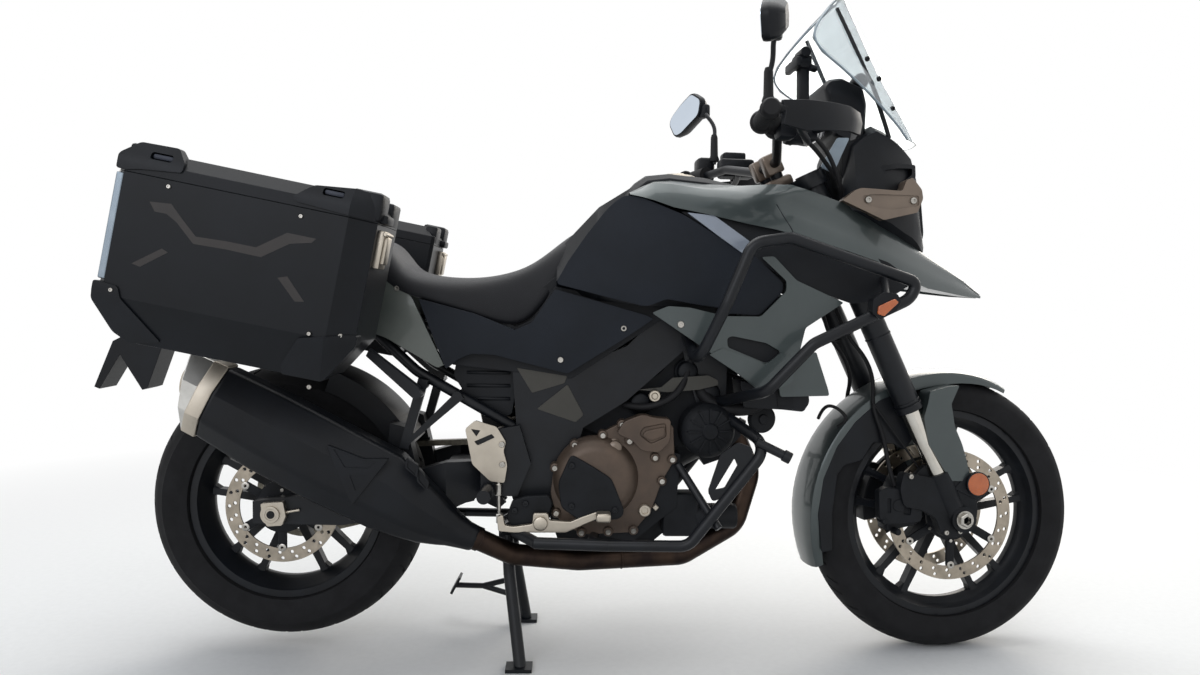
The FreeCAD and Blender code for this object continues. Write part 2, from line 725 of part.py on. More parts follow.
def spar(side):
    inner = float(size("spar_inner"))
    outer = inner + float(size("spar_thickness"))
    tight = float(size("head_tube_radius"))
    stations = [
        (480, 905, 1030, 10, tight + 10),
        (358, 850, 975, 62, 92),
        (238, 765, 905, inner, outer),
        (65, 610, 735, inner, outer),
        (-110, 500, 660, inner + 4, outer)]
    return loft([[spot(x, a * side, low), spot(x, b * side, low),
                  spot(x, b * side, high), spot(x, a * side, high)]
                 for x, low, high, a, b in stations])


def pivot_plate(side):
    low, high = sorted((float(size("arm_inner")) * side * 0.86,
                        (float(size("spar_inner")) + float(size("spar_thickness"))) * side))
    x, z = float(size("pivot_x")), float(size("pivot_z"))
    return prism([(x - 44, z + 250), (x + 66, z + 250), (x + 120, z + 120), (x + 66, z - 56),
                  (x - 40, z - 56), (x - 56, z - 10), (x - 30, z + 60)], low, high)


head_tube = rod(head_low, head_top, size("head_tube_radius"))
head_bore = rod(on_fork(0), on_fork(size("leg_top")), size("stem_radius") + size("running_gap"))
hanger_plate = [(190, 740), (300, 820), (296, 610), (262, 566), (228, 600)]
hangers = [panel(hanger_plate, *sorted((98 * side, 112 * side))) for side in (-1, 1)]
cross_top = rod(pivot + Vector(20, -110, 200), pivot + Vector(20, 110, 200), 20)
stand_pin = point(size("stand_pivot_x"), 0, size("stand_pivot_z"))
stand_bar = 16
low_cross = rod(Vector(-128, -104, 357), Vector(-128, 104, 357), 12)
stand_lugs = []
for side in (-1, 1):
    y0, y1 = sorted((44 * side, 54 * side))
    stand_lugs.append(prism([
        (stand_pin.x - 22, stand_pin.z - 22), (stand_pin.x + 22, stand_pin.z - 22),
        (-116, 348), (-128, 370), (stand_pin.x, stand_pin.z + 26),
        (stand_pin.x - 22, stand_pin.z + 14)], y0, y1))
lug_bore = rod(stand_pin - Vector(0, 60, 0), stand_pin + Vector(0, 60, 0),
               stand_bar + float(size("running_gap")))
pedal_lugs = [prism([(-166, 384), (-84, 384), (-104, 342), (-146, 342)],
                    *sorted((101.5 * side, 136 * side))) for side in (-1, 1)]
# The side stand's pin leans out, so that the leg swings down and outwards
side_pin = Vector(-74, 116, 302)
side_axis = Vector(-0.0212, 0.9049, 0.4251)
pin_radius = 6
side_boss = rod(side_pin - side_axis * 12, side_pin, 17)
side_lug = prism([(-104, 384), (-84, 384), (-52, 300), (-70, 282), (-92, 290)], 104, 116)
side_lug = joined([side_lug, side_boss]).cut(
    rod(side_pin - side_axis * 0.5, side_pin + side_axis * 40, 28))
side_lug = joined([side_lug, rod(side_pin - side_axis * 12, side_pin + side_axis * 18, pin_radius)])
shock_ears = [prism([(-126, 656), (-200, 656), (-208, 628), (-126, 616)],
                    *sorted((15 * side, 27 * side))) for side in (-1, 1)]
fairing_stay = Part.Face(Part.makePolygon([
    on_fork(690, 20, -14), on_fork(700, 168, -14), on_fork(756, 168, -14), on_fork(756, 20, -14),
    on_fork(690, 20, -14)])).extrude(Vector(0, 28, 0))
frame_shape = joined([head_tube, low_cross, side_lug, fairing_stay, cross_top] + stand_lugs
                     + pedal_lugs + shock_ears + [spar(side) for side in (-1, 1)]
                     + [pivot_plate(side) for side in (-1, 1)] + hangers)
frame_shape = frame_shape.cut(head_bore).cut(lug_bore)
shape_part("main_frame", frame_shape)

# Subframe of bent tube
rail_y = 122
rail = float(size("rail_radius"))
tail_x = -760
rails = bent_tube([spot(-86, rail_y, 690), spot(-190, rail_y, 722), spot(-400, rail_y, 775),
                   spot(tail_x, rail_y - 12, 868)], rail, 200)
struts = bent_tube([spot(-172, rail_y + 2, 538), spot(-410, rail_y + 2, 674),
                    spot(-560, rail_y - 3, 812)], rail - 1, 90)
cross = [rod(spot(x, -rail_y, z), spot(x, rail_y, z), rail - 2)
         for x, z in ((-400, 775), (-640, 837), (-752, 864))]
subframe_shape = joined([rails, struts, rails.mirror(Vector(), Vector(0, 1, 0)),
                         struts.mirror(Vector(), Vector(0, 1, 0))] + cross).cut(frame_shape)
shape_part("subframe", subframe_shape)

# Swingarm, with the rear axle across it
arm_in = float(size("arm_inner"))
arm_out = arm_in + float(size("arm_thickness"))
axle_end = rear_axle + Vector(-46, 0, 0)


def swing_leg(side):
    return loft([[Vector(x, a * side, low), Vector(x, b * side, low),
                  Vector(x, b * side, high), Vector(x, a * side, high)]
                 for x, low, high, a, b in (
                     (pivot.x + 20, pivot.z - 28, pivot.z + 28, 62, 99),
                     (pivot.x - 66, pivot.z - 30, pivot.z + 30, 64, 99),
                     (pivot.x - 190, pivot.z - 78, pivot.z + 34, arm_in, arm_out),
                     (rear_axle.x + 150, rear_axle.z - 28, rear_axle.z + 48, arm_in, arm_out),
                     (axle_end.x, rear_axle.z - 24, rear_axle.z + 26, arm_in, arm_out))])


pivot_half = float(size("arm_inner")) * 0.86 - 0.4
swing_cross = prism([(pivot.x - 130, pivot.z - 60), (pivot.x - 120, pivot.z + 16),
                     (pivot.x - 208, pivot.z + 6), (pivot.x - 208, pivot.z - 78)],
                    -arm_in - 4, arm_in + 4)
pivot_tube = rod(pivot - Vector(0, pivot_half, 0), pivot + Vector(0, pivot_half, 0),
                 size("pivot_radius"))
shock_feet = [prism([(-284, 362), (-284, 392), (-232, 372), (-214, 352), (-232, 336)],
                    *sorted((15 * side, 27 * side))) for side in (-1, 1)]
swing_shape = joined([swing_leg(-1), swing_leg(1), swing_cross, pivot_tube] + shock_feet)
axle_hole = rod(rear_axle - Vector(0, 300, 0), rear_axle + Vector(0, 300, 0), size("axle_radius"))
swing_shape = swing_shape.cut(axle_hole).cut(frame_shape)
shape_part("swingarm", swing_shape)

shock_low = Vector(-232, 0, 354)
shock_high = Vector(-188, 0, 642)
shock_up = (shock_high - shock_low).normalize()
shock = joined([
    rod(shock_low - Vector(0, 14.5, 0), shock_low + Vector(0, 14.5, 0), 15),
    rod(shock_high - Vector(0, 14.5, 0), shock_high + Vector(0, 14.5, 0), 15),
    rod(shock_low, shock_high, 14),
    rod(shock_low + shock_up * 44, shock_low + shock_up * 200, 31),
    rod(shock_low + shock_up * 34, shock_low + shock_up * 44, 36),
    rod(shock_low + shock_up * 200, shock_high - shock_up * 26, 27)])
shape_part("rear_shock", shock.cut(frame_shape).cut(swing_shape))
axle_half = arm_out + 20
rear_axle_shape = joined([
    rod(rear_axle - Vector(0, axle_half, 0), rear_axle + Vector(0, axle_half, 0),
        size("axle_radius")),
    rod(rear_axle - Vector(0, axle_half - 4, 0), rear_axle - Vector(0, arm_out, 0), 24),
    rod(rear_axle + Vector(0, arm_out, 0), rear_axle + Vector(0, axle_half - 4, 0), 24)])
shape_part("rear_axle", rear_axle_shape)
hugger_in = float(size("rear_tyre_radius")) + 9
hugger = joined([
    ring_sector(rear_axle, hugger_in, hugger_in + 4, -88, 88, 26, 78),
    ring_sector(rear_axle, hugger_in - 46, hugger_in + 4, 84, 88, 26, 70),
    ring_sector(rear_axle, hugger_in - 46, hugger_in + 4, -88, -84, 26, 70)])
hugger_arm = both_sides(prism([(pivot.x - 250, pivot.z - 16), (pivot.x - 330, pivot.z - 22),
                               (pivot.x - 318, pivot.z + 120), (pivot.x - 280, pivot.z + 110)],
                              88, arm_in + 20))
hugger = joined([hugger] + hugger_arm.Solids).cut(swing_shape)

# Chain: one fixed loop of side plates and rollers round both sprockets
drive = point(size("drive_x"), 0, size("drive_z"))
big = float(size("sprocket_radius"))
small = float(size("drive_radius"))
span = (drive - rear_axle).Length
tilt = math.atan2(drive.z - rear_axle.z, drive.x - rear_axle.x)
flare = math.acos((big - small) / span)


def round_belt(grow, y0, y1):
    """Belt outline round both sprockets, grown outwards from the pitch line."""
    up, down = tilt + flare, tilt - flare
    rear_r, front_r = big + grow, small + grow

    def on_ring(centre, radius, angle):
        return Vector(centre.x + radius * math.cos(angle), y0, centre.z + radius * math.sin(angle))

    edges = [
        Part.makeLine(on_ring(rear_axle, rear_r, up), on_ring(drive, front_r, up)),
        Part.Arc(on_ring(drive, front_r, up), on_ring(drive, front_r, tilt),
                 on_ring(drive, front_r, down)).toShape(),
        Part.makeLine(on_ring(drive, front_r, down), on_ring(rear_axle, rear_r, down)),
        Part.Arc(on_ring(rear_axle, rear_r, down), on_ring(rear_axle, rear_r, tilt + math.pi),
                 on_ring(rear_axle, rear_r, up)).toShape()]
    return Part.Face(Part.Wire(edges)).extrude(Vector(0, y1 - y0, 0))


chain_low = float(size("rear_hub_width")) / 2 - 5
chain_high = float(size("rear_hub_width")) / 2 + 12
chain = round_belt(7, chain_low, chain_high).cut(round_belt(-7, chain_low, chain_high))
chain = chain.cut(round_belt(0, chain_low + 4, chain_high - 4).cut(
    round_belt(-8, chain_low, chain_high)))
shape_part("drive_chain", chain)
sprocket_low = chain_low + 4 + float(size("running_gap"))
sprocket_high = chain_high - 4 - float(size("running_gap"))
drive_sprocket = joined([
    rod(drive + Vector(0, sprocket_low, 0), drive + Vector(0, sprocket_high, 0),
        small - float(size("running_gap"))),
    rod(drive + Vector(0, 60, 0), drive + Vector(0, sprocket_high + 6, 0), 15)])
hugger = hugger.cut(round_belt(13, chain_low - 6, chain_high + 6))
shape_part("rear_hugger", hugger)

# Engine
crank = point(size("crank_x"), 0, size("crank_z"))
case_half = float(size("crankcase_half_width"))
crankcase = prism([(crank.x - 178, crank.z - 70), (crank.x - 150, crank.z - 150),
                   (crank.x + 60, crank.z - 168), (crank.x + 128, crank.z - 110),
                   (crank.x + 118, crank.z + 30), (crank.x + 40, crank.z + 104),
                   (crank.x - 110, crank.z + 112), (crank.x - 172, crank.z + 50)],
                  -84, case_half - 72)
crank_side = prism([(crank.x - 120, crank.z - 110), (crank.x + 20, crank.z - 140),
                    (crank.x + 120, crank.z - 60), (crank.x + 128, crank.z + 60),
                    (crank.x + 20, crank.z + 96), (crank.x - 110, crank.z + 70)],
                   -case_half, -84)
left_side = prism([(crank.x - 60, crank.z - 110), (crank.x + 20, crank.z - 130),
                   (crank.x + 110, crank.z - 50), (crank.x + 110, crank.z + 50),
                   (crank.x + 20, crank.z + 86), (crank.x - 60, crank.z + 70)],
                  case_half - 72, case_half - 10)
oil_filter = rod(Vector(crank.x + 96, -58, crank.z - 82),
                 Vector(crank.x + 186, -58, crank.z - 92), 34)
crankcase_shape = joined([crankcase, crank_side, left_side, drive_sprocket, oil_filter])


def cylinder(lean_angle, foot_out, offset):
    """Barrel, head and head cover along one bank of the vee."""
    along = Vector(math.cos(math.radians(lean_angle)), 0, math.sin(math.radians(lean_angle)))
    across = Vector(-along.z, 0, along.x)
    foot = crank + along * foot_out + Vector(0, offset, 0)
    tall = float(size("cylinder_height"))
    barrel = rod(foot, foot + along * (tall * 0.45), size("cylinder_radius"))
    rows = []
    for at, half_a, half_y in ((tall * 0.42, 66, 82), (tall * 0.75, 72, 96),
                               (tall * 0.75, 60, 88), (tall, 46, 78)):
        mid = foot + along * at
        rows.append([mid - across * half_a - Vector(0, half_y, 0),
                     mid + across * half_a - Vector(0, half_y, 0),
                     mid + across * half_a + Vector(0, half_y, 0),
                     mid - across * half_a + Vector(0, half_y, 0)])
    return joined([barrel, loft(rows[:2]), loft(rows[2:])])


front_bank = cylinder(28, 100, -12)
rear_bank = cylinder(118, 92, 12)
cylinders_shape = Part.Compound([front_bank.cut(crankcase_shape), rear_bank.cut(crankcase_shape)])
shape_part("crankcase", crankcase_shape.cut(frame_shape).cut(swing_shape))
shape_part("cylinders", cylinders_shape.cut(frame_shape))


def round_cover(centre, radius, y0, y1, side):
    face = rod(Vector(centre.x, y0 * side, centre.z), Vector(centre.x, y1 * side, centre.z), radius)
    cap = Part.makeCone(radius, radius - 14, 14, Vector(centre.x, y1 * side, centre.z),
                        Vector(0, side, 0))
    return joined([face, cap])


clutch = round_cover(Vector(crank.x - 64, 0, crank.z + 8), 94, case_half, case_half + 28, -1)
pump = round_cover(Vector(crank.x + 96, 0, crank.z + 76), 58, case_half, case_half + 20, -1)
alternator = round_cover(crank, 84, case_half - 10, case_half + 14, 1)
sprocket_cover = prism([(crank.x - 70, crank.z - 40), (crank.x - 66, crank.z + 70),
                        (crank.x - 130, crank.z + 84), (crank.x - 190, crank.z + 60),
                        (crank.x - 196, crank.z - 20), (crank.x - 150, crank.z - 50)],
                       case_half - 34, case_half - 14)
engine_covers = Part.Compound([joined([clutch, pump]), joined([alternator, sprocket_cover])])
shape_part("engine_covers", engine_covers.cut(crankcase_shape).cut(frame_shape))

# Radiator
radiator = loft([[spot(404, -170, 600), spot(440, -170, 600), spot(440, 170, 600),
                  spot(404, 170, 600)],
                 [spot(376, -170, 850), spot(412, -170, 850), spot(412, 170, 850),
                  spot(376, 170, 850)]])
radiator_mounts = [panel([(376, 840), (400, 840), (400, 880), (376, 880)],
                         *sorted((64 * side, 84 * side))) for side in (-1, 1)]
shape_part("radiator", joined([radiator] + radiator_mounts).cut(frame_shape))

# Exhaust: front header down and under the engine, rear header, collector and silencer
header = bent_tube([Vector(322, -30, 548), Vector(372, -34, 430), Vector(330, -60, 310),
                    Vector(200, -96, 246), Vector(-40, -120, 240), Vector(-190, -150, 262),
                    Vector(-300, -180, 320)], 24, 60)
exhaust_header = header.cut(crankcase_shape).cut(cylinders_shape)
shape_part("exhaust_header", exhaust_header)


def can_section(centre, along, up_half, out_half, chamfer=0.45):
    """Oval-cornered section square to the silencer's axis."""
    up = Vector(-along.z, 0, along.x)
    side = Vector(0, 1, 0)
    ring = [(-1, -chamfer), (-chamfer, -1), (chamfer, -1), (1, -chamfer), (1, chamfer),
            (chamfer, 1), (-chamfer, 1), (-1, chamfer)]
    return [centre + up * (u * up_half) + side * (s * out_half) for u, s in ring]


can_front = Vector(-330, -196, 352)
can_rear = Vector(-846, -206, 612)
can_along = (can_rear - can_front).normalize()
can_length = (can_rear - can_front).Length
can_stations = [(0, 30, 34), (70, 62, 50), (150, 88, 58), (430, 92, 60), (can_length, 84, 58)]
silencer = loft([can_section(can_front + can_along * at, can_along, up_half, out_half)
                 for at, up_half, out_half in can_stations])
silencer = silencer.cut(swing_shape).cut(exhaust_header)
shape_part("silencer", silencer)
cap = loft([can_section(can_rear + can_along * at, can_along, up_half, out_half)
            for at, up_half, out_half in ((0, 86, 60), (58, 80, 55))])
cap = cap.cut(rod(can_rear + can_along * 20, can_rear + can_along * 60, 26))
shape_part("silencer_end_cap", cap)

# Seat, tank and body panels


def seat_shape(grow):
    rows = []
    for x, top, low, half_top, half_low in (
            (-30, 1003, 984, 40, 52), (-100, 958, 872, 84, 122), (-180, 906, 792, 108, 142),
            (-290, 886, 822, 130, 160), (-430, 905, 852, 138, 164), (-478, 968, 872, 128, 158),
            (-560, 985, 892, 130, 152), (-760, 976, 912, 106, 124)):
        rows.append([spot(x, -half_low - grow, low - grow), spot(x, -half_top - grow, top + grow),
                     spot(x, half_top + grow, top + grow), spot(x, half_low + grow, low - grow)])
    if grow:
        rows[0] = [each + Vector(grow, 0, 0) for each in rows[0]]
    return loft(rows)


tank = loft([[spot(x, -low_y, low), spot(x, -mid_y, mid), spot(x, -top_y, top),
              spot(x, top_y, top), spot(x, mid_y, mid), spot(x, low_y, low)]
             for x, low, mid, top, low_y, mid_y, top_y in (
                 (-96, 862, 880, 950, 120, 142, 70), (0, 838, 920, 1052, 150, 178, 84),
                 (110, 826, 950, 1120, 166, 192, 92), (220, 830, 975, 1122, 170, 196, 96),
                 (336, 890, 985, 1096, 152, 186, 84), (400, 950, 1000, 1070, 110, 140, 60))])
tank = tank.cut(seat_shape(float(size("seat_gap")))).cut(frame_shape).cut(fork_sweep)
tank = tank.cut(cylinders_shape)
shape_part("fuel_tank", tank)
tank_shape = tank
seat = seat_shape(0).cut(subframe_shape)
shape_part("seat", seat)


def skin(stations, thickness):
    """Curved panel from (x, top_y, top_z, low_y, low_z) stations, for the left side."""
    rows = []
    for x, top_y, top_z, low_y, low_z in stations:
        inward = min(thickness, top_y - 1, low_y - 1)
        rows.append([spot(x, top_y, top_z), spot(x, low_y, low_z),
                     spot(x, low_y - inward, low_z), spot(x, top_y - inward, top_z)])
    return loft(rows)


thick = float(size("panel_thickness"))
cowl = skin([(80, 100, 1102, 186, 1062), (160, 112, 1134, 202, 1040), (336, 132, 1108, 222, 1002),
             (500, 142, 1076, 222, 950), (620, 134, 1012, 198, 905), (760, 86, 938, 124, 878),
             (936, 6, 858, 14, 850)], thick + 6)
cowl_cut = cowl.cut(tank_shape).cut(frame_shape).cut(fork_sweep)
shape_part("cowls", both_sides(max(cowl_cut.Solids, key=lambda each: each.Volume)))
cowls_shape = SUBPARTS[-1].Shape

beak = loft([[spot(x, -half, low), spot(x, -half, high), spot(x, half, high),
              spot(x, half, low)]
             for x, half, low, high in ((560, 128, 930, 1010), (620, 124, 905, 1000),
                                        (760, 80, 878, 930), (925, 6, 850, 858))])
beak = beak.cut(cowls_shape).cut(fork_sweep)
shape_part("beak", max(beak.Solids, key=lambda each: each.Volume))
beak_shape = SUBPARTS[-1].Shape

shroud = panel([(114, 812), (141, 827), (275, 808), (353, 811), (401, 872), (345, 938),
                (530, 843), (452, 782), (424, 660), (363, 635), (252, 720)], 204, 204 + thick)
shroud_bracket = panel([(262, 745), (292, 745), (292, 775), (262, 775)], 105, 204)
shroud = joined([shroud, shroud_bracket]).cut(frame_shape)
shape_part("shrouds", both_sides(shroud))

fairing = loft([[spot(x, -half, low), spot(x, -half * 0.8, high), spot(x, half * 0.8, high),
                 spot(x, half, low)]
                for x, half, low, high in ((560, 168, 1022, 1100), (640, 156, 1000, 1230),
                                           (720, 112, 960, 1262), (790, 58, 945, 1110))])
fairing = fairing.cut(fork_sweep).cut(beak_shape).cut(cowls_shape).cut(frame_shape)
fairing = max(fairing.Solids, key=lambda each: each.Volume)
lamp_block = panel([(742, 985), (840, 985), (840, 1100), (742, 1100)], -52, 52)
headlight = fairing.common(lamp_block)
fairing = fairing.cut(lamp_block)
shape_part("fairing", max(fairing.Solids, key=lambda each: each.Volume))
fairing_shape = SUBPARTS[-1].Shape
shape_part("headlight", headlight)
trim = panel([(542, 1068), (600, 1091), (720, 1088), (718, 1052), (633, 1023)], 100, 176)
trim = trim.cut(fairing_shape).cut(fork_sweep).cut(cowls_shape)
shape_part("fairing_trims", both_sides(max(trim.Solids, key=lambda each: each.Volume)))


def screen_face(z, middle_x, edge_x, edge_y, back):
    outer = Part.Arc(Vector(edge_x, -edge_y, z), Vector(middle_x, 0, z),
                     Vector(edge_x, edge_y, z)).toShape()
    inner = Part.Arc(Vector(edge_x - back, edge_y, z), Vector(middle_x - back, 0, z),
                     Vector(edge_x - back, -edge_y, z)).toShape()
    left = Part.makeLine(Vector(edge_x, edge_y, z), Vector(edge_x - back, edge_y, z))
    right = Part.makeLine(Vector(edge_x - back, -edge_y, z), Vector(edge_x, -edge_y, z))
    return Part.Wire([outer, left, inner, right])


screen_rows = ((1215, 758, 705, 112), (1300, 712, 602, 165), (1400, 660, 462, 198),
               (1500, 607, 515, 130), (1561, 576, 560, 62))
screen = Part.makeLoft([screen_face(z, middle_x, edge_x, edge_y, 5)
                        for z, middle_x, edge_x, edge_y in screen_rows], True, True)
screen.translate(nose_shift)
shape_part("windscreen", screen.cut(fairing_shape))
dash = panel([(512, 1132), (541, 1205), (575, 1206), (600, 1120), (560, 1080)], -110, 110)
shape_part("dashboard", dash.cut(fairing_shape).cut(fork_sweep))

seat_room = seat_shape(float(size("seat_gap")))
side_cover = panel([(-400, 838), (-277, 806), (-187, 770), (-150, 786), (-98, 860), (60, 826),
                    (122, 800), (-69, 674), (-181, 702), (-283, 717), (-339, 682)], 141, 170)
for neighbour in (tank_shape, seat_room, frame_shape, subframe_shape):
    side_cover = side_cover.cut(neighbour)
shape_part("side_covers", both_sides(side_cover))
carrier = joined([panel([(-940, 938), (-762, 938), (-762, 950), (-940, 950)], -110, 110)] + [
    panel([(-800, 940), (-800, 900), (-758, 864), (-745, 868), (-770, 905), (-770, 940)],
          *sorted((98 * side, 110 * side))) for side in (-1, 1)])
carrier_holes = [rod(spot(x, y * side, 930), spot(x, y * side, 960), size("carrier_hole"))
                 for side in (-1, 1) for x, y in ((-900, 70), (-800, 70))]
carrier = carrier.cut(seat_room).cut(subframe_shape).cut(Part.Compound(carrier_holes))
shape_part("rear_carrier", max(carrier.Solids, key=lambda each: each.Volume))
holder = panel([(-1128, 732), (-1172, 625), (-1160, 620), (-1112, 700), (-1062, 618), (-1050, 622),
                (-1014, 721), (-790, 846), (-744, 852), (-744, 888), (-790, 906)], -40, 40)
shape_part("plate_holder", holder.cut(subframe_shape).cut(seat_room))
shape_part("tail_lamp", panel([(-952, 910), (-940, 910), (-940, 950), (-952, 950)], -60, 60))

# Panniers with their lids, on tube racks
tip_angle = math.radians(float(size("pannier_pitch")))
along_box = Vector(math.cos(tip_angle), 0, -math.sin(tip_angle))
up_box = Vector(math.sin(tip_angle), 0, math.cos(tip_angle))
box_corner = point(size("pannier_front_x"), 0, size("pannier_front_z"))
wall = float(size("pannier_wall"))
long = float(size("pannier_length"))
deep = float(size("pannier_depth"))
inner_y = float(size("pannier_inner"))
tall = float(size("pannier_body_height"))
hinge_out = float(size("hinge_out"))
knuckle_radius = hinge_out - 1


def in_box(u, y, n):
    return box_corner + along_box * u + Vector(0, y, 0) + up_box * n


def pannier_outline(shrink):
    return [(-long + shrink, 0), (-long + shrink, -220), (-long + 66 + shrink * 0.5, -tall + shrink),
            (-50 - shrink * 0.5, -tall + shrink), (-shrink, -tall + 82), (-shrink, 0)]


def pannier_block(outline, y0, y1):
    ring = [in_box(u, y0, n) for u, n in outline]
    return Part.Face(Part.makePolygon(ring + ring[:1])).extrude(Vector(0, y1 - y0, 0))


def pannier(side):
    y0, y1 = inner_y * side, (inner_y + deep) * side
    outer = pannier_block(pannier_outline(0), y0, y1)
    hollow = pannier_block(pannier_outline(wall), y0 + wall * side, y1 - wall * side)
    middle = (y0 + y1) / 2
    out = -long - hinge_out
    knuckle = joined([
        rod(in_box(out, middle - 40, 0), in_box(out, middle + 40, 0), knuckle_radius),
        pannier_block([(out - 3, -14), (-long, -14), (-long, -1), (out - 3, -1)],
                      middle - 40, middle + 40),
        rod(in_box(out, middle - 80, 0), in_box(out, middle + 80, 0), size("hinge_pin_radius"))])
    return joined([outer.cut(hollow), knuckle])


def pannier_lid(side):
    gap = float(size("lid_gap"))
    high = float(size("lid_height"))
    inset = 26
    y0, y1 = inner_y * side, (inner_y + deep) * side

    def tray(shrink, top):
        rings = []
        for draw_in, n in ((shrink, gap), (shrink, top * 0.5), (inset + shrink, top)):
            near, far = y0 + draw_in * side, y1 - draw_in * side
            rings.append([in_box(-long + draw_in, near, n), in_box(-draw_in, near, n),
                          in_box(-draw_in, far, n), in_box(-long + draw_in, far, n)])
        return loft(rings)

    lid = tray(0, high).cut(tray(wall, high - wall))
    middle = (y0 + y1) / 2
    out = -long - hinge_out
    bore = float(size("hinge_pin_radius")) + float(size("running_gap"))
    for near, far in ((-80, -40.4), (40.4, 80)):
        leaf = joined([
            rod(in_box(out, middle + near, 0), in_box(out, middle + far, 0), knuckle_radius),
            pannier_block([(out - 3, 1), (-long + wall / 2, 1), (-long + wall / 2, 14), (out - 3, 14)],
                          middle + near, middle + far)])
        lid = joined([lid, leaf])
    return lid.cut(rod(in_box(out, middle - 90, 0), in_box(out, middle + 90, 0), bore))


for name, side in (("left", 1), ("right", -1)):
    shape_part("pannier_" + name, pannier(side))
    shape_part("lid_" + name, pannier_lid(side))
rack_y = inner_y - float(size("rack_radius")) - 0.3


def rack(side):
    y = rack_y * side
    loop = [in_box(u, y, n) for u, n in ((-200, -40), (-70, -40), (-70, -250), (-390, -250),
                                         (-390, -40), (-210, -40))]
    stays = [rod(in_box(u, y, n), Vector(in_box(u, y, n).x, (rail_y - 4) * side, z), 8)
             for u, n, z in ((-150, -40, 812), (-310, -40, 852))]
    return joined([bent_tube(loop, size("rack_radius"), 40)] + stays)


racks = Part.Compound([rack(-1), rack(1)]).cut(subframe_shape)
shape_part("pannier_racks", racks)
tail_cover = panel([(-345, 690), (-415, 836), (-456, 884), (-560, 890), (-780, 912), (-800, 870),
                    (-475, 752)], 136, 152)
tail_covers = both_sides(tail_cover.cut(seat_room).cut(subframe_shape)).cut(racks)
shape_part("tail_covers", tail_covers)

# Crash bars
guard_points = [(200, 120, 770), (206, 262, 704), (262, 306, 835), (312, 312, 960), (392, 312, 972),
                (664, 296, 882), (650, 296, 848), (445, 306, 752), (353, 290, 650), (262, 100, 600)]
low_guard = [(0, 70, 300), (-14, 236, 306), (195, 250, 308), (366, 250, 526), (270, 106, 592)]
crash_tubes = []
for side in (-1, 1):
    for route in (guard_points, low_guard):
        tube = bent_tube([spot(x, y * side, z) for x, y, z in route], size("crash_bar_radius"), 40)
        tube = tube.cut(frame_shape).cut(crankcase_shape).cut(cylinders_shape)
        crash_tubes.append(max(tube.Solids, key=lambda each: each.Volume))
shape_part("crash_bars", Part.Compound(crash_tubes))

# Footrests and levers
foot_plate = prism([(-294, 548), (-272, 567), (-227, 553), (-208, 516), (-210, 428), (-240, 434),
                    (-277, 472)], 158, 164)
hanger = prism([(-262, 540), (-176, 556), (-150, 470), (-180, 396), (-262, 396)], 136, 158)
peg = rod(Vector(-246, 150, 412), Vector(-246, 262, 416), 15)
pillion_bars = joined([
    prism([(-444, 505), (-424, 500), (-380, 655), (-402, 660)], 142, 156),
    prism([(-436, 500), (-424, 524), (-316, 632), (-300, 616)], 142, 156),
    rod(Vector(-392, 124, 645), Vector(-392, 156, 645), 11),
    rod(Vector(-316, 124, 620), Vector(-316, 156, 620), 11),
    rod(Vector(-396, 150, 628), Vector(-396, 200, 628), 9),
    prism([(-505, 713), (-498, 728), (-392, 646), (-386, 626), (-400, 618)], 184, 212)])
footrests_shape = Part.Compound([
    each for part in (joined([foot_plate, hanger, peg]), pillion_bars)
    for each in both_sides(part.cut(subframe_shape).cut(silencer)).Solids])
shape_part("footrests", footrests_shape)


def foot_lever(side, toe, toe_z):
    """Brake pedal or gear lever: arm, pivot boss and a toe peg."""
    tail, heel = (-220, -145) if side < 0 else (-125, -90)
    arm = bent_tube([Vector(tail, 168 * side, 360), Vector(heel, 170 * side, 345),
                     Vector(-64, 196 * side, toe_z - 24), Vector(toe, 208 * side, toe_z)], 7, 20)
    boss = rod(Vector(-125, 136 * side, 360), Vector(-125, 180 * side, 360), 14)
    y0, y1 = sorted((198 * side, 236 * side))
    return joined([arm, boss, box(toe - 5, toe + 29, y0, y1, toe_z - 6, toe_z + 6)])


levers = Part.Compound([foot_lever(-1, 1, 360), foot_lever(1, 8, 352)])
shape_part("foot_levers", levers.cut(footrests_shape))

caliper_block = caliper(rear_axle, float(rear_disc_middle), 84, float(size("rear_disc_radius")) + 18,
                        28, 64)
caliper_arm = ring_sector(rear_axle, 100, 142, 0.3 - arm_in, float(rear_disc_middle) - 20,
                          5, 64)
shape_part("rear_caliper", joined([caliper_block, caliper_arm]).cut(swing_shape))


def turn_signal(stem, foot, outline, y0, y1):
    """A slim lamp on its rubber stem, for the left side."""
    return joined([panel(outline, y0, y1), rod(spot(*stem), spot(*foot), 7)])


front_signal = turn_signal((660, 98, 932), (622, 225, 834), [
    (596, 806), (604, 826), (640, 853), (652, 846), (645, 832), (612, 803)], 214, 262)
rear_signal = turn_signal((-960, 34, 790), (-960, 122, 800), [
    (-990, 792), (-984, 812), (-944, 818), (-936, 804), (-944, 786)], 112, 168)
signals = Part.Compound([
    each for part in (front_signal.cut(beak_shape).cut(cowls_shape), rear_signal.cut(holder))
    for each in both_sides(part).Solids])
shape_part("turn_signals", signals)

# Stands

def stand_leg(side):
    top = point(size("stand_pivot_x"), 72 * side, size("stand_pivot_z"))
    foot = point(size("stand_x"), float(size("stand_half")) * side, -6)
    leg = bent_tube([top, Vector(top.x + 6, 90 * side, 200), foot],
                    size("stand_tube_radius"), 60)
    shoe = box(foot.x - 34, foot.x + 26, foot.y - 24, foot.y + 24, 0, 8)
    return [leg, shoe]


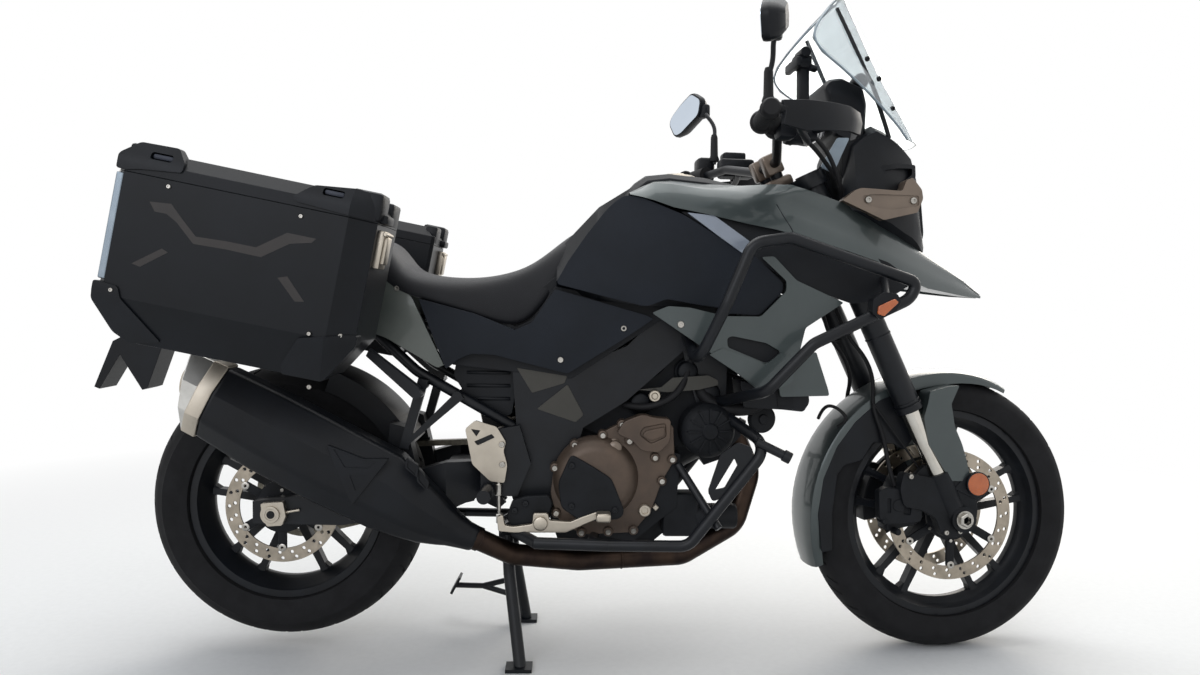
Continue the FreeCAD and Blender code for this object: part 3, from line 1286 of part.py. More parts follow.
# The tang that the rider's foot treads on branches from the left leg
tang_top = Vector(-190, 114, 126)
tang_low = Vector(-181, 133, 66)
tang_fork = Vector(-285, 150, 92)
tang_radius = 7
stand = joined(stand_leg(-1) + stand_leg(1) + [
    rod(point(size("stand_pivot_x"), -80, size("stand_pivot_z")),
        point(size("stand_pivot_x"), 80, size("stand_pivot_z")), stand_bar),
    rod(tang_top, tang_fork, tang_radius),
    rod(tang_low, tang_fork, tang_radius),
    rod(tang_fork, Vector(-357, 172, 87), tang_radius),
    prism([(-343, 108), (-366, 66), (-372, 69), (-349, 111)], 158, 205)])
stand = stand.common(box(-600, 400, -400, 400, 0, 600))
shape_part("centre_stand", stand)
side_stand = joined([
    rod(side_pin, side_pin + side_axis * 14, 18),
    bent_tube([side_pin + side_axis * 9, Vector(-200, 132, 288), Vector(-352, 150, 286)], 11, 60),
    box(-382, -330, 128, 172, 278, 288)])
side_bore = rod(side_pin - side_axis * 20, side_pin + side_axis * 30,
                pin_radius + float(size("running_gap")))
boss_room = rod(side_pin - side_axis * 40, side_pin, 34)
shape_part("side_stand", side_stand.cut(side_bore).cut(boss_room))
doc.recompute()

failed = [thing.Label for thing in doc.Objects
          if "Invalid" in thing.State or "Error" in thing.State]
if failed:
    raise RuntimeError("objects that did not recompute: " + ", ".join(failed))
for thing in SUBPARTS:
    if thing.Shape.isNull() or not thing.Shape.isValid():
        raise RuntimeError("no valid shape for " + thing.Label)
    thing.Shape.exportStep(f"parts/{thing.Label}.step")
    print(thing.Label, len(thing.Shape.Solids), round(thing.Shape.Volume / 1000))
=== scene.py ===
import json
import math

import bmesh
import bpy
from mathutils import Matrix, Vector
from mathutils.bvhtree import BVHTree


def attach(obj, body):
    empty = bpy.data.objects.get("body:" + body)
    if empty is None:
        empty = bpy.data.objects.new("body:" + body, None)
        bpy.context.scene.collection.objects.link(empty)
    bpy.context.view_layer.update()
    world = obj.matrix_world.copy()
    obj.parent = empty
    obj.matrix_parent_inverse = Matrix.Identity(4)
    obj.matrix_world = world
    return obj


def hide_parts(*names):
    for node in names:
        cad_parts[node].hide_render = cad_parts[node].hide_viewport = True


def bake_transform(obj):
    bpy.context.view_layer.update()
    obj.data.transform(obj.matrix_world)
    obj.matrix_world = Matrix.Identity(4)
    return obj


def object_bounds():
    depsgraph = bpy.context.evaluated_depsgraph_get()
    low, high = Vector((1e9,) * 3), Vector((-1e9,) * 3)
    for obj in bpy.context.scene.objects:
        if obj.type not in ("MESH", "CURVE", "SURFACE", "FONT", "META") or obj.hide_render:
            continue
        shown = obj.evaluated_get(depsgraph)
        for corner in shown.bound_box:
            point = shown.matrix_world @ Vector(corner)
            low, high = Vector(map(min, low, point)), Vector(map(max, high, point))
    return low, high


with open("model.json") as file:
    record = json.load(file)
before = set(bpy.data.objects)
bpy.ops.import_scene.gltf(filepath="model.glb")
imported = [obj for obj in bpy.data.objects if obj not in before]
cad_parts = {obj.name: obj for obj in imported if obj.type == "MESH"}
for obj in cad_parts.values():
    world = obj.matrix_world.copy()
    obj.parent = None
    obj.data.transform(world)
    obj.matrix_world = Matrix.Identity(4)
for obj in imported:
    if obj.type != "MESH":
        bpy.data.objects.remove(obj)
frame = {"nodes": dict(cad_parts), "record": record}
cad_low, cad_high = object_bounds()
scene = bpy.context.scene
scene.view_settings.view_transform = "Standard"

# Adventure motorcycle parked on its centre stand. X points forwards, Y to the left and Z up.
# The tables below are in millimetres, and most give the right side, which is mirrored.


def at(x, y, z):
    """Spot in metres from millimetres."""
    return Vector((x, y, z)) / 1000


RAKE = math.radians(25)
PARKED_STEER = math.radians(6.75)
STEER_UP = Vector((-math.sin(RAKE), 0, math.cos(RAKE)))
STEER_AHEAD = Vector((math.cos(RAKE), 0, math.sin(RAKE)))
STEER_FOOT = at(805.029, 0, 310.615)
FRONT_AXLE = at(844, 0, 328.788)
REAR_AXLE = at(-724, 0, 356)
STEERED = (Matrix.Translation(STEER_FOOT) @ Matrix.Rotation(PARKED_STEER, 4, STEER_UP)
           @ Matrix.Translation(-STEER_FOOT))
FRONT_WHEEL = STEERED @ Matrix.Translation(FRONT_AXLE)
REAR_WHEEL = Matrix.Translation(REAR_AXLE)
# Along a pannier, across the machine and square to the pannier's joint
PANNIER = Matrix.Translation(at(-430, 0, 979)) @ Matrix.Rotation(math.radians(11.1), 4, "Y")
LEG_SIDE = 102
LEG_AHEAD = 40


def on_fork(along, ahead=0, side=0):
    """Spot along the steering axis, in front of it and beside it."""
    return (STEER_FOOT + STEER_UP * along / 1000 + STEER_AHEAD * ahead / 1000
            + Vector((0, side / 1000, 0)))


# Finishes

def srgb(code):
    """Linear colour of a #rrggbb value."""
    channels = [int(code[place:place + 2], 16) / 255 for place in (1, 3, 5)]
    return tuple(c / 12.92 if c <= 0.04045 else ((c + 0.055) / 1.055) ** 2.4
                 for c in channels) + (1.0,)


def add_node(tree, kind, inputs=None, **settings):
    """One node with its settings. A socket in inputs is linked and any other value is set."""
    node = tree.nodes.new(kind)
    for key, value in settings.items():
        setattr(node, key, value)
    for key, value in (inputs or {}).items():
        if isinstance(value, bpy.types.NodeSocket):
            tree.links.new(value, node.inputs[key])
        else:
            node.inputs[key].default_value = value
    return node


FINISHES = {}


def fresh_tree(owner):
    """Empty node tree of a material or of the world."""
    owner.use_nodes = True
    owner.node_tree.nodes.clear()
    return owner.node_tree


def finish(key, name, colour, tint, metallic, roughness, grain, depth, slot=None, spread=0.07,
           coat=0.0, patch=120, cells=False, shine=0.5, **shader):
    """One finish: two colours that drift in patches, and a grain that dents the surface.
    Grain, depth and patch are in millimetres."""
    surface = bpy.data.materials.new(name)
    tree = fresh_tree(surface)
    place = add_node(tree, "ShaderNodeTexCoord").outputs["Object"]
    patches = add_node(tree, "ShaderNodeTexNoise", {
        "Vector": place, "Scale": 1000 / patch, "Detail": 4.0, "Roughness": 0.6}).outputs["Fac"]
    if cells:
        texture = add_node(tree, "ShaderNodeTexVoronoi", {
            "Vector": place, "Scale": 1000 / grain}).outputs["Distance"]
    else:
        texture = add_node(tree, "ShaderNodeTexNoise", {
            "Vector": place, "Scale": 1000 / grain, "Detail": 2.0}).outputs["Fac"]
    drift = add_node(tree, "ShaderNodeMapRange", {
        "Value": patches, "From Min": 0.35, "From Max": 0.68}).outputs["Result"]
    colours = add_node(tree, "ShaderNodeMix", {0: drift, 6: srgb(colour), 7: srgb(tint)},
                       data_type="RGBA").outputs[2]
    rough = add_node(tree, "ShaderNodeMapRange", {
        "Value": texture, "To Min": max(roughness - spread, 0.02),
        "To Max": roughness + spread}).outputs["Result"]
    bump = add_node(tree, "ShaderNodeBump", {
        "Height": texture, "Distance": depth / 1000, "Strength": 0.8}).outputs["Normal"]
    inputs = {"Base Color": colours, "Roughness": rough, "Normal": bump, "Metallic": metallic,
              "Coat Weight": coat, "Coat Roughness": 0.08, "Specular IOR Level": shine}
    inputs.update(shader)
    principled = add_node(tree, "ShaderNodeBsdfPrincipled", inputs)
    add_node(tree, "ShaderNodeOutputMaterial", {"Surface": principled.outputs["BSDF"]})
    FINISHES[key] = (surface, slot or key)


# Satin powder coat on steel tube: fine orange peel that blurs the highlights
finish("black_frame", "satin black powder coat", "#0c0e12", "#14171c", 0.0, 0.4, 2.2, 0.05,
    patch=80, coat=0.04, shine=0.26)
# Sprayed heat-proof enamel over cast aluminium: the casting's grit shows through
finish("engine_black", "matte black engine enamel", "#0e1013", "#17191d", 0.0, 0.56, 1.4, 0.12,
    patch=60, shine=0.2)
# Metallic engine enamel on pressure-cast covers
finish("engine_bronze", "bronze engine enamel", "#4a3f37", "#5a4c41", 0.5, 0.46, 1.3, 0.07,
    patch=70)
# Frame enamel of a warm olive grey on the plates by the swingarm pivot
finish("paint_pale", "pale olive-grey paint", "#565b57", "#616661", 0.35, 0.36, 1.6, 0.01,
    slot="paint_grey_green", spread=0.05, coat=0.45, patch=150)
finish("frame_olive", "olive-grey frame enamel", "#34332e", "#3b3934", 0.3, 0.44, 1.4, 0.05,
    slot="black_frame", patch=90)
# Stainless steel discs, ground in the direction of rotation and dulled by the pads
finish("steel", "ground stainless steel", "#a79d8f", "#8e867a", 1.0, 0.34, 1.1, 0.02, patch=30)
# Cast and machined aluminium, bead blasted
finish("aluminium", "bead-blasted aluminium", "#c4c3bf", "#aeada9", 1.0, 0.36, 0.9, 0.03, patch=50)
# Stainless steel pipe that heat has tinted brown
finish("exhaust_steel", "heat-tinted stainless steel", "#3c312a", "#272120", 1.0, 0.42, 2.0, 0.02,
    patch=55)
# Baked satin enamel on the silencer's skin
finish("silencer_black", "baked black silencer enamel", "#0a0c10", "#101318", 0.0, 0.4, 1.6, 0.04,
    patch=90, shine=0.22)
# Vulcanised road tyre: carbon-black rubber, dusty in patches, with a moulded grain
finish("tyre_rubber", "vulcanised tyre rubber", "#101012", "#1a1a1c", 0.0, 0.8, 1.8, 0.1, patch=45,
    shine=0.25)
# Moulded soft rubber for grips, boots and hoses
finish("rubber", "moulded rubber", "#101012", "#18181a", 0.0, 0.66, 1.5, 0.12, patch=40, shine=0.25)
# Dark metallic grey-green base coat with flakes under a clear coat
finish("paint_grey_green", "metallic grey-green with clear coat", "#3a4242", "#424a4a", 0.45, 0.38,
    0.7, 0.01, coat=0.45, patch=220)
# Matte textured paint on the knee panels: a leathery spark-eroded grain
finish("tank_black", "textured matte black paint", "#10151c", "#161b23", 0.0, 0.52, 1.7, 0.12,
    patch=150, cells=True, shine=0.2)
# Injection-moulded ABS with a spark-eroded grain
finish("black_plastic", "grained black ABS", "#0b0d11", "#12151a", 0.0, 0.46, 1.5, 0.1, patch=110,
    cells=True, shine=0.22)
# Bronze metallic lacquer on moulded trim
finish("bronze_trim", "bronze lacquer on ABS", "#76685b", "#695c51", 0.5, 0.42, 1.0, 0.02, patch=90,
    coat=0.4)
# Vinyl leather cloth of the seat: pressed leather grain and a soft sheen
finish("seat_vinyl", "grained seat vinyl", "#0e0f13", "#16171b", 0.0, 0.5, 2.4, 0.22, patch=130,
    cells=True, shine=0.22, **{"Sheen Weight": 0.08})
# Powder-coated aluminium sheet of the panniers
finish("pannier_black", "black powder-coated aluminium", "#090c10", "#0f1217", 0.0, 0.4, 1.6, 0.05,
    patch=160, shine=0.2)
# Plated roller chain with a film of lubricant
finish("chain_steel", "oiled chain steel", "#8a8578", "#5d5951", 1.0, 0.38, 1.0, 0.03, patch=18)
# Hard chrome on the fork's inner tubes
finish("chrome", "hard chrome", "#c9c5bd", "#bdb8ae", 1.0, 0.14, 1.2, 0.004, slot="steel",
    spread=0.03, patch=60)
# Heat shields and heel plates: satin anodised aluminium with a warm tone
finish("satin_plate", "satin anodised aluminium", "#b8b0a3", "#aaa296", 1.0, 0.42, 0.8, 0.02,
    slot="aluminium", patch=80)
# Silver-grey lacquer on the small insert below the tank's edge
finish("silver_lacquer", "silver-grey lacquer", "#868e9a", "#79818d", 0.5, 0.36, 0.8, 0.01,
    slot="paint_grey_green", patch=100, coat=0.6)
# Printed bronze-grey stripes under the pannier's clear coat
finish("stripe_print", "bronze-grey printed stripe", "#282524", "#2f2b29", 0.1, 0.42, 1.6, 0.03,
    slot="pannier_black", patch=70, shine=0.35)
# Grey woven strap in the handles of the pannier lids
finish("strap_grey", "grey woven strap", "#3c3f48", "#474a53", 0.0, 0.6, 1.2, 0.05,
    slot="pannier_black", patch=40, shine=0.3)
# Anodised strip along the rear corner of the pannier sheet
finish("edge_strip", "grey anodised strip", "#7f8a94", "#8a959e", 0.7, 0.4, 0.9, 0.02,
    slot="aluminium", patch=60)
# Acrylic screen edge painted pale: a painted highlight for the light that the polished edge gathers
finish("painted_light_acrylic", "acrylic with painted highlight", "#98a5ae", "#84919b", 0.0, 0.3, 6.0, 0.02,
    slot="clear_screen", patch=60)
# Silvered glass of the mirrors
finish("mirror_glass", "silvered glass", "#c8d2de", "#c2ccd8", 1.0, 0.04, 3.0, 0.001,
    slot="lamp_glass", spread=0.02)
# Moulded acrylic reflectors and lenses, prismatic inside
finish("amber_lens", "amber acrylic lens", "#b0500e", "#bf5d18", 0.0, 0.2, 2.2, 0.2, spread=0.05,
    coat=0.8, patch=25, cells=True)
finish("red_lens", "red acrylic lens", "#8e1414", "#a61d1b", 0.0, 0.2, 2.2, 0.2, spread=0.05,
    coat=0.8, patch=25, cells=True)
# Polycarbonate headlamp cover over a bright reflector
finish("lamp_glass", "polycarbonate lamp cover", "#aab4bd", "#c3ccd4", 0.6, 0.12, 5.0, 0.05,
    spread=0.05, coat=1.0, patch=30)
# Anti-reflection coated display glass
finish("display_glass", "dark display glass", "#10151c", "#161d27", 0.0, 0.1, 6.0, 0.01,
    slot="lamp_glass", spread=0.03, coat=1.0)
# Bright nickel-plated bolts
finish("plated_bolt", "nickel-plated bolt", "#b9b6b0", "#9d9a94", 1.0, 0.3, 0.8, 0.02, slot="steel",
    patch=12)


def clear_acrylic():
    """Blown clear acrylic of the windscreen: faintly blue-grey, with wipe marks that only
    roughen it."""
    surface = bpy.data.materials.new("clear blown acrylic")
    tree = fresh_tree(surface)
    place = add_node(tree, "ShaderNodeTexCoord").outputs["Object"]
    marks = add_node(tree, "ShaderNodeTexNoise", {
        "Vector": place, "Scale": 14.0, "Detail": 5.0}).outputs["Fac"]
    rough = add_node(tree, "ShaderNodeMapRange", {
        "Value": marks, "From Min": 0.45, "From Max": 0.75, "To Min": 0.01,
        "To Max": 0.1}).outputs["Result"]
    bump = add_node(tree, "ShaderNodeBump", {
        "Height": marks, "Distance": 0.0002, "Strength": 0.3}).outputs["Normal"]
    glass = add_node(tree, "ShaderNodeBsdfPrincipled", {
        "Base Color": srgb("#bfc6ca"), "Roughness": rough, "Normal": bump, "IOR": 1.49,
        "Transmission Weight": 0.8, "Specular IOR Level": 0.5})
    add_node(tree, "ShaderNodeOutputMaterial", {"Surface": glass.outputs["BSDF"]})
    FINISHES["clear_screen"] = (surface, "clear_screen")


clear_acrylic()


# Ways of making a piece. Each builder gives a mesh, and make() ends it.

SAME_SPOT = 0.00001
WELD = 0.00002
RIGHT, LEFT = (0, -1, 0), (0, 1, 0)
SIDE_FLIP = Matrix.Scale(-1, 4, LEFT)
# The steering is drawn straight ahead, and each wheel about its own middle
BODY_PLACES = {"steering": STEERED, "front_wheel": FRONT_WHEEL, "rear_wheel": REAR_WHEEL}


def make(name, bm, key="black_plastic", body="chassis", place=None, bevel=0.0, soften=0,
         stands_for=(), sharp=35, both=False, turns=None):
    """Ends a piece: mirrored, placed in its body's own frame, smoothly shaded and riding on its
    body. A cable with turns is only fixed where it is placed and rides on no body; the places in
    turns are not used."""
    if both:
        bmesh.ops.mirror(bm, geom=bm.verts[:] + bm.edges[:] + bm.faces[:], axis="Y",
                         merge_dist=0.0)
    bmesh.ops.remove_doubles(bm, verts=bm.verts, dist=WELD)
    moved(moved(bm, place), BODY_PLACES.get(body))
    bmesh.ops.recalc_face_normals(bm, faces=bm.faces)
    mesh = bpy.data.meshes.new(name)
    bm.to_mesh(mesh)
    bm.free()
    mesh.shade_smooth()
    piece = bpy.data.objects.new(name, mesh)
    scene.collection.objects.link(piece)
    surface, slot = FINISHES[key]
    mesh.materials.append(surface)
    if soften:
        smoother = piece.modifiers.new("soften", "SUBSURF")
        smoother.levels = smoother.render_levels = soften
    else:
        mesh.set_sharp_from_angle(angle=math.radians(sharp))
    if bevel:
        round_edges(piece, bevel)
    if turns:
        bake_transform(piece)
    else:
        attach(piece, body)
    if stands_for:
        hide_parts(*stands_for)
    return piece


def moved(bm, place):
    """The mesh after it is moved by a matrix, if there is one."""
    if place is not None:
        bmesh.ops.transform(bm, matrix=place, verts=bm.verts)
    return bm


def round_edges(piece, width, angle=30):
    edge = piece.modifiers.new("rounded edges", "BEVEL")
    edge.width = width / 1000
    edge.segments = 3
    edge.limit_method = "ANGLE"
    edge.angle_limit = math.radians(angle)
    edge.harden_normals = True


def skin_over(rings):
    """Closed shell that is drawn out from ring to ring. All rings have as many points."""
    bm = bmesh.new()
    row = [bm.verts.new(spot) for spot in rings[0]]
    bm.faces.new(row)
    for ring in rings[1:]:
        edges = [bm.edges.get(pair) for pair in zip(row, row[1:] + row[:1])]
        drawn = bmesh.ops.extrude_edge_only(bm, edges=edges)["geom"]
        follows = {}
        for vert in drawn:
            if isinstance(vert, bmesh.types.BMVert):
                for edge in vert.link_edges:
                    other = edge.other_vert(vert)
                    if other in row:
                        follows[other] = vert
        row = [follows[vert] for vert in row]
        for vert, spot in zip(row, ring):
            vert.co = spot
    bm.faces.new(row)
    return bm


def flat_outline(bm, outline, corner=0.0):
    """Flat face in the XZ plane from (x, z) corners, each rounded off."""
    face = bm.faces.new([bm.verts.new(at(x, 0, z)) for x, z in outline])
    if corner:
        bmesh.ops.bevel(bm, geom=face.verts[:], offset=corner / 1000, offset_type="OFFSET",
                        segments=4, profile=0.5, affect="VERTICES", clamp_overlap=True,
                        material=-1)


def panel(outline, reach, inner, corner=6.0, step=26):
    """Panel with an outline of (x, z) corners. Its outer face stands reach(x, z) from the
    middle plane and its inner face at inner, or inner(x, z) if that is a function."""
    bm = bmesh.new()
    flat_outline(bm, outline, corner)
    for axis in (0, 2):
        low = min(vert.co[axis] for vert in bm.verts)
        high = max(vert.co[axis] for vert in bm.verts)
        normal = Vector((1, 0, 0)) if axis == 0 else Vector((0, 0, 1))
        for count in range(1, int((high - low) * 1000 / step) + 1):
            bmesh.ops.bisect_plane(bm, geom=bm.verts[:] + bm.edges[:] + bm.faces[:],
                                   plane_co=normal * (low + count * step / 1000),
                                   plane_no=normal, dist=SAME_SPOT)
    front = bm.verts[:]
    back = [each for each in bmesh.ops.extrude_face_region(bm, geom=bm.faces[:])["geom"]
            if isinstance(each, bmesh.types.BMVert)]
    for vert in front:
        vert.co.y = -reach(vert.co.x * 1000, vert.co.z * 1000) / 1000
    for vert in back:
        x, z = vert.co.x * 1000, vert.co.z * 1000
        vert.co.y = -(inner(x, z) if callable(inner) else inner) / 1000
    return bm


def level(distance):
    return lambda x, z: distance


def crowned(middle_x, middle_z, half_x, half_z, high, drop):
    """A face that stands high at its middle and falls away by drop at its ends."""
    def reach(x, z):
        return high - drop * (((x - middle_x) / half_x) ** 2 + ((z - middle_z) / half_z) ** 2) / 2
    return reach


def facing(spot, direction):
    """Place of a round piece whose Y axis points in a direction."""
    turn = Vector(LEFT).rotation_difference(Vector(direction))
    return Matrix.Translation(spot) @ turn.to_matrix().to_4x4()


def turned(profile, place=None, steps=24):
    """Round piece about Y from (radius, along) corners of a closed section or of one that ends
    on the axis."""
    bm = bmesh.new()
    verts = [bm.verts.new((radius / 1000, along / 1000, 0)) for radius, along in profile]
    edges = [bm.edges.new(pair) for pair in zip(verts, verts[1:])]
    if profile[0][0] > 0 and profile[-1][0] > 0:
        edges.append(bm.edges.new((verts[-1], verts[0])))
    bmesh.ops.spin(bm, geom=verts + edges, cent=(0, 0, 0), axis=LEFT, dvec=(0, 0, 0),
                   angle=math.tau, steps=steps, use_merge=True, use_duplicate=False)
    bmesh.ops.remove_doubles(bm, verts=bm.verts, dist=SAME_SPOT)
    return moved(bm, place)


def boss(profile, spot, way=RIGHT, steps=24):
    """Round piece that stands on a spot and points to the right, unless told otherwise."""
    return turned(profile, facing(at(*spot), way), steps)


def rod(start, end, radius, steps=16):
    """Straight round bar with softened ends."""
    run = Vector(end) - Vector(start)
    soft = min(radius * 0.25, 1.5)
    return boss([(0, 0), (radius - soft, 0), (radius, soft), (radius, run.length - soft),
                 (radius - soft, run.length), (0, run.length)], start, run, steps)


def block(low, high, bevel=0.0, place=None):
    """Block between two corners, with rounded edges."""
    bm = bmesh.new()
    middle = (Vector(low) + Vector(high)) / 2000
    size = (Vector(high) - Vector(low)) / 1000
    bmesh.ops.create_cube(bm, size=1.0, matrix=Matrix.Translation(middle) @ Matrix.Diagonal(
        (*size, 1)))
    if bevel:
        bmesh.ops.bevel(bm, geom=bm.edges[:], offset=bevel / 1000, offset_type="OFFSET",
                        segments=2, profile=0.5, affect="EDGES", clamp_overlap=True, material=-1)
    return moved(bm, place)


def carve(bm, cutter):
    """Takes the cutter's shape out of a piece."""
    objects = []
    for each in (bm, cutter):
        bmesh.ops.remove_doubles(each, verts=each.verts, dist=SAME_SPOT)
        bmesh.ops.recalc_face_normals(each, faces=each.faces)
        mesh = bpy.data.meshes.new("carving")
        each.to_mesh(mesh)
        each.free()
        objects.append(bpy.data.objects.new("carving", mesh))
        scene.collection.objects.link(objects[-1])
    work, tool = objects
    cut = work.modifiers.new("cut", "BOOLEAN")
    cut.object = tool
    cut.operation = "DIFFERENCE"
    cut.solver = "EXACT"
    bpy.context.view_layer.update()
    result = bpy.data.meshes.new_from_object(
        work.evaluated_get(bpy.context.evaluated_depsgraph_get()))
    carved = bmesh.new()
    carved.from_mesh(result)
    for each in objects:
        mesh = each.data
        bpy.data.objects.remove(each)
        bpy.data.meshes.remove(mesh)
    bpy.data.meshes.remove(result)
    return carved


def slab(outline, near, far, corner=0.0):
    """Flat piece of (x, z) corners between two distances from the middle plane."""
    bm = bmesh.new()
    flat_outline(bm, outline, corner)
    bmesh.ops.translate(bm, verts=bm.verts, vec=at(0, -far, 0))
    grown = bmesh.ops.extrude_face_region(bm, geom=bm.faces[:])["geom"]
    bmesh.ops.translate(bm, verts=[each for each in grown if isinstance(each, bmesh.types.BMVert)],
                        vec=at(0, far - near, 0))
    return bm


def rounded(outline, corner):
    """The corners of a flat outline after they are rounded off."""
    bm = bmesh.new()
    flat_outline(bm, outline, corner)
    ring = [(vert.co.x * 1000, vert.co.z * 1000) for vert in bm.faces[:][0].verts]
    bm.free()
    return ring


def joined(*parts):
    """One mesh of several."""
    whole = parts[0]
    for part in parts[1:]:
        mesh = bpy.data.meshes.new("part")
        part.to_mesh(mesh)
        part.free()
        whole.from_mesh(mesh)
        bpy.data.meshes.remove(mesh)
    return whole


def bolts(name, spots, radius=5.0, key="plated_bolt", body="chassis", direction=RIGHT, place=None,
          both=True):
    """Socket-head bolts with a shallow round recess."""
    head = [(0, radius * 0.25), (radius * 0.45, radius * 0.25), (radius * 0.5, radius * 0.7),
            (radius * 0.85, radius * 0.7), (radius, radius * 0.5), (radius, -1), (0, -1)]
    make(name, joined(*[boss(head, spot, direction, 12) for spot in spots]), key, body, place,
         both=both, sharp=50)


def hose(name, points, radius, key="rubber", body="chassis", place=None, both=False, turns=None):
    """Round bar, lever or hose along a smooth line through its control points."""
    line = bpy.data.curves.new(name + "_line", "CURVE")
    line.dimensions = "3D"
    line.resolution_u = 8
    line.bevel_depth = radius / 1000
    line.bevel_resolution = 4
    line.use_fill_caps = True
    spline = line.splines.new("NURBS")
    spline.points.add(len(points) - 1)
    for each, spot in zip(spline.points, points):
        each.co = (*(Vector(spot) / 1000), 1.0)
    spline.order_u = 3
    spline.use_endpoint_u = True
    holder = bpy.data.objects.new(name + "_holder", line)
    scene.collection.objects.link(holder)
    bpy.context.view_layer.update()
    solid = bpy.data.meshes.new_from_object(
        holder.evaluated_get(bpy.context.evaluated_depsgraph_get()))
    bm = bmesh.new()
    bm.from_mesh(solid)
    bpy.data.objects.remove(holder)
    bpy.data.curves.remove(line)
    bpy.data.meshes.remove(solid)
    make(name, bm, key, body, place, both=both, sharp=60, turns=turns)


# CAD nodes that stay: their finish and their softened edges

EDGE_WIDTHS = {
    "main_frame": 4, "subframe": 1.5, "swingarm": 5, "crankcase": 5, "engine_covers": 3,
    "cylinders": 3, "radiator": 3, "triple_clamps": 3, "fork_tubes": 2, "fork_lowers": 3,
    "front_calipers": 4, "rear_caliper": 4, "front_rim": 2.5, "rear_rim": 2.5, "front_discs": 0.6,
    "rear_disc": 0.6, "footrests": 2, "foot_levers": 2, "pannier_left": 3, "pannier_right": 3,
    "lid_left": 3, "lid_right": 3, "rear_carrier": 3, "plate_holder": 4, "controls": 3,
    "dashboard": 4, "centre_stand": 2, "side_stand": 2, "rear_hugger": 1.5, "tail_lamp": 3,
    "turn_signals": 3, "handlebar": 1, "crash_bars": 0, "pannier_racks": 0, "fuel_tank": 6}
for entry in frame["record"]["subparts"]:
    node = frame["nodes"][entry["node"]]
    node.material_slots[0].material = FINISHES[entry["material_slot"]][0]
    width = EDGE_WIDTHS.get(entry["node"])
    if width is not None:
        weld = node.modifiers.new("joined triangles", "WELD")
        weld.merge_threshold = WELD
        if width:
            round_edges(node, width, 28)
for name, key in (("fuel_tank", "black_plastic"), ("front_calipers", "engine_black"),
                  ("rear_caliper", "engine_black"), ("fork_lowers", "engine_black"),
                  ("rear_axle", "satin_plate"), ("footrests", "black_frame"),
                  ("cylinders", "engine_black"), ("beak", "black_plastic"),
                  ("exhaust_header", "exhaust_steel")):
    frame["nodes"][name].material_slots[0].material = FINISHES[key][0]


# Tyres

GROOVE_PITCH = 9
GROOVE_DEPTH = 0.003
GROOVE_EDGE = 0.0012


def tyre(name, outer, width, bead, rim_width, body, node):
    """Road and trail tyre: rounded tread with slanted grooves, ribbed walls, closed beads.
    Crown has shares of half the width with their drop, and wall has shares of the height."""
    half = width / 2
    scale = width / 150
    seat = rim_width / 2 - 8
    crown = [(0.0, 0.0), (0.09, 0.3), (0.2, 1.2), (0.34, 3.4), (0.48, 6.6), (0.62, 11.5),
             (0.76, 18.5), (0.88, 28.0), (0.955, 38.0)]
    wall = [(1.0, 0.56), (0.985, 0.42), (0.945, 0.27), (0.9, 0.19), (0.895, 0.16), (0.86, 0.1)]
    side = [(outer - drop * scale, share * half) for share, drop in crown]
    side += [(bead + part * (outer - bead) * 1.1, share * half) for share, part in wall]
    side += [(bead + 9, seat + 0.5), (bead, seat), (bead, seat - 9), (bead + 14, seat - 8),
             (outer - 0.45 * width, half - 12), (outer - 26, half * 0.6), (outer - 16, 0)]
    section = side + [(radius, -y) for radius, y in side[-2:0:-1]]
    steps = 216
    bm = turned(section, steps=steps)
    bmesh.ops.recalc_face_normals(bm, faces=bm.faces)
    groove = []
    for face in bm.faces:
        middle = face.calc_center_median()
        radius = math.hypot(middle.x, middle.z)
        share = abs(middle.y) / half * 1000
        if radius < (outer - 24 * scale) / 1000 or share > 0.8:
            continue
        turn = round(math.atan2(middle.z, middle.x) / math.tau * steps - 0.5)
        ahead = 3 if middle.y > 0 else 0
        long_cut = (turn + ahead) % GROOVE_PITCH == 0 and 0.1 < share < 0.6
        short_cut = (turn + ahead) % GROOVE_PITCH == 5 and 0.4 < share < 0.8
        if long_cut or short_cut:
            groove.append(face)
    bmesh.ops.inset_region(bm, faces=groove, thickness=GROOVE_EDGE, depth=-GROOVE_DEPTH,
                           use_even_offset=True, use_boundary=True)
    for vert in bm.verts:
        lean = math.radians(9) * abs(vert.co.y) / half * 1000
        vert.co = Matrix.Rotation(-lean, 3, "Y") @ vert.co
    make(name, bm, "tyre_rubber", body, stands_for=[node], sharp=28)


FRONT_BEAD, REAR_BEAD = 241, 216
tyre("front_road_tyre", 329, 110, FRONT_BEAD, 76, "front_wheel", "front_tyre")
tyre("rear_road_tyre", 321, 150, REAR_BEAD, 112, "rear_wheel", "rear_tyre")


# Tank, cowls and beak

COWL = [  # x, then (y, z) of the top edge, of the crease and of the lower edge
    (64, (118, 1074), (160, 1077), (196, 1070)), (92, (118, 1093), (166, 1090), (200, 1064)),
    (120, (118, 1107), (170, 1099), (203, 1056)), (160, (118, 1111), (174, 1096), (206, 1042)),
    (235, (118, 1104), (178, 1084), (211, 1027)), (317, (146, 1098), (184, 1073), (216, 1008)),
    (384, (158, 1101), (188, 1062), (218, 995)), (429, (160, 1100), (186, 1050), (216, 984)),
    (475, (160, 1086), (183, 1032), (213, 972)), (548, (152, 1062), (176, 1004), (207, 950)),
    (612, (132, 1036), (164, 984), (196, 930)), (686, (104, 1000), (140, 955), (172, 893)),
    (750, (78, 962), (106, 934), (138, 872)), (832, (46, 920), (64, 902), (90, 860)),
    (880, (27, 894), (38, 884), (54, 854)), (930, (6, 860), (9, 858), (14, 851))]


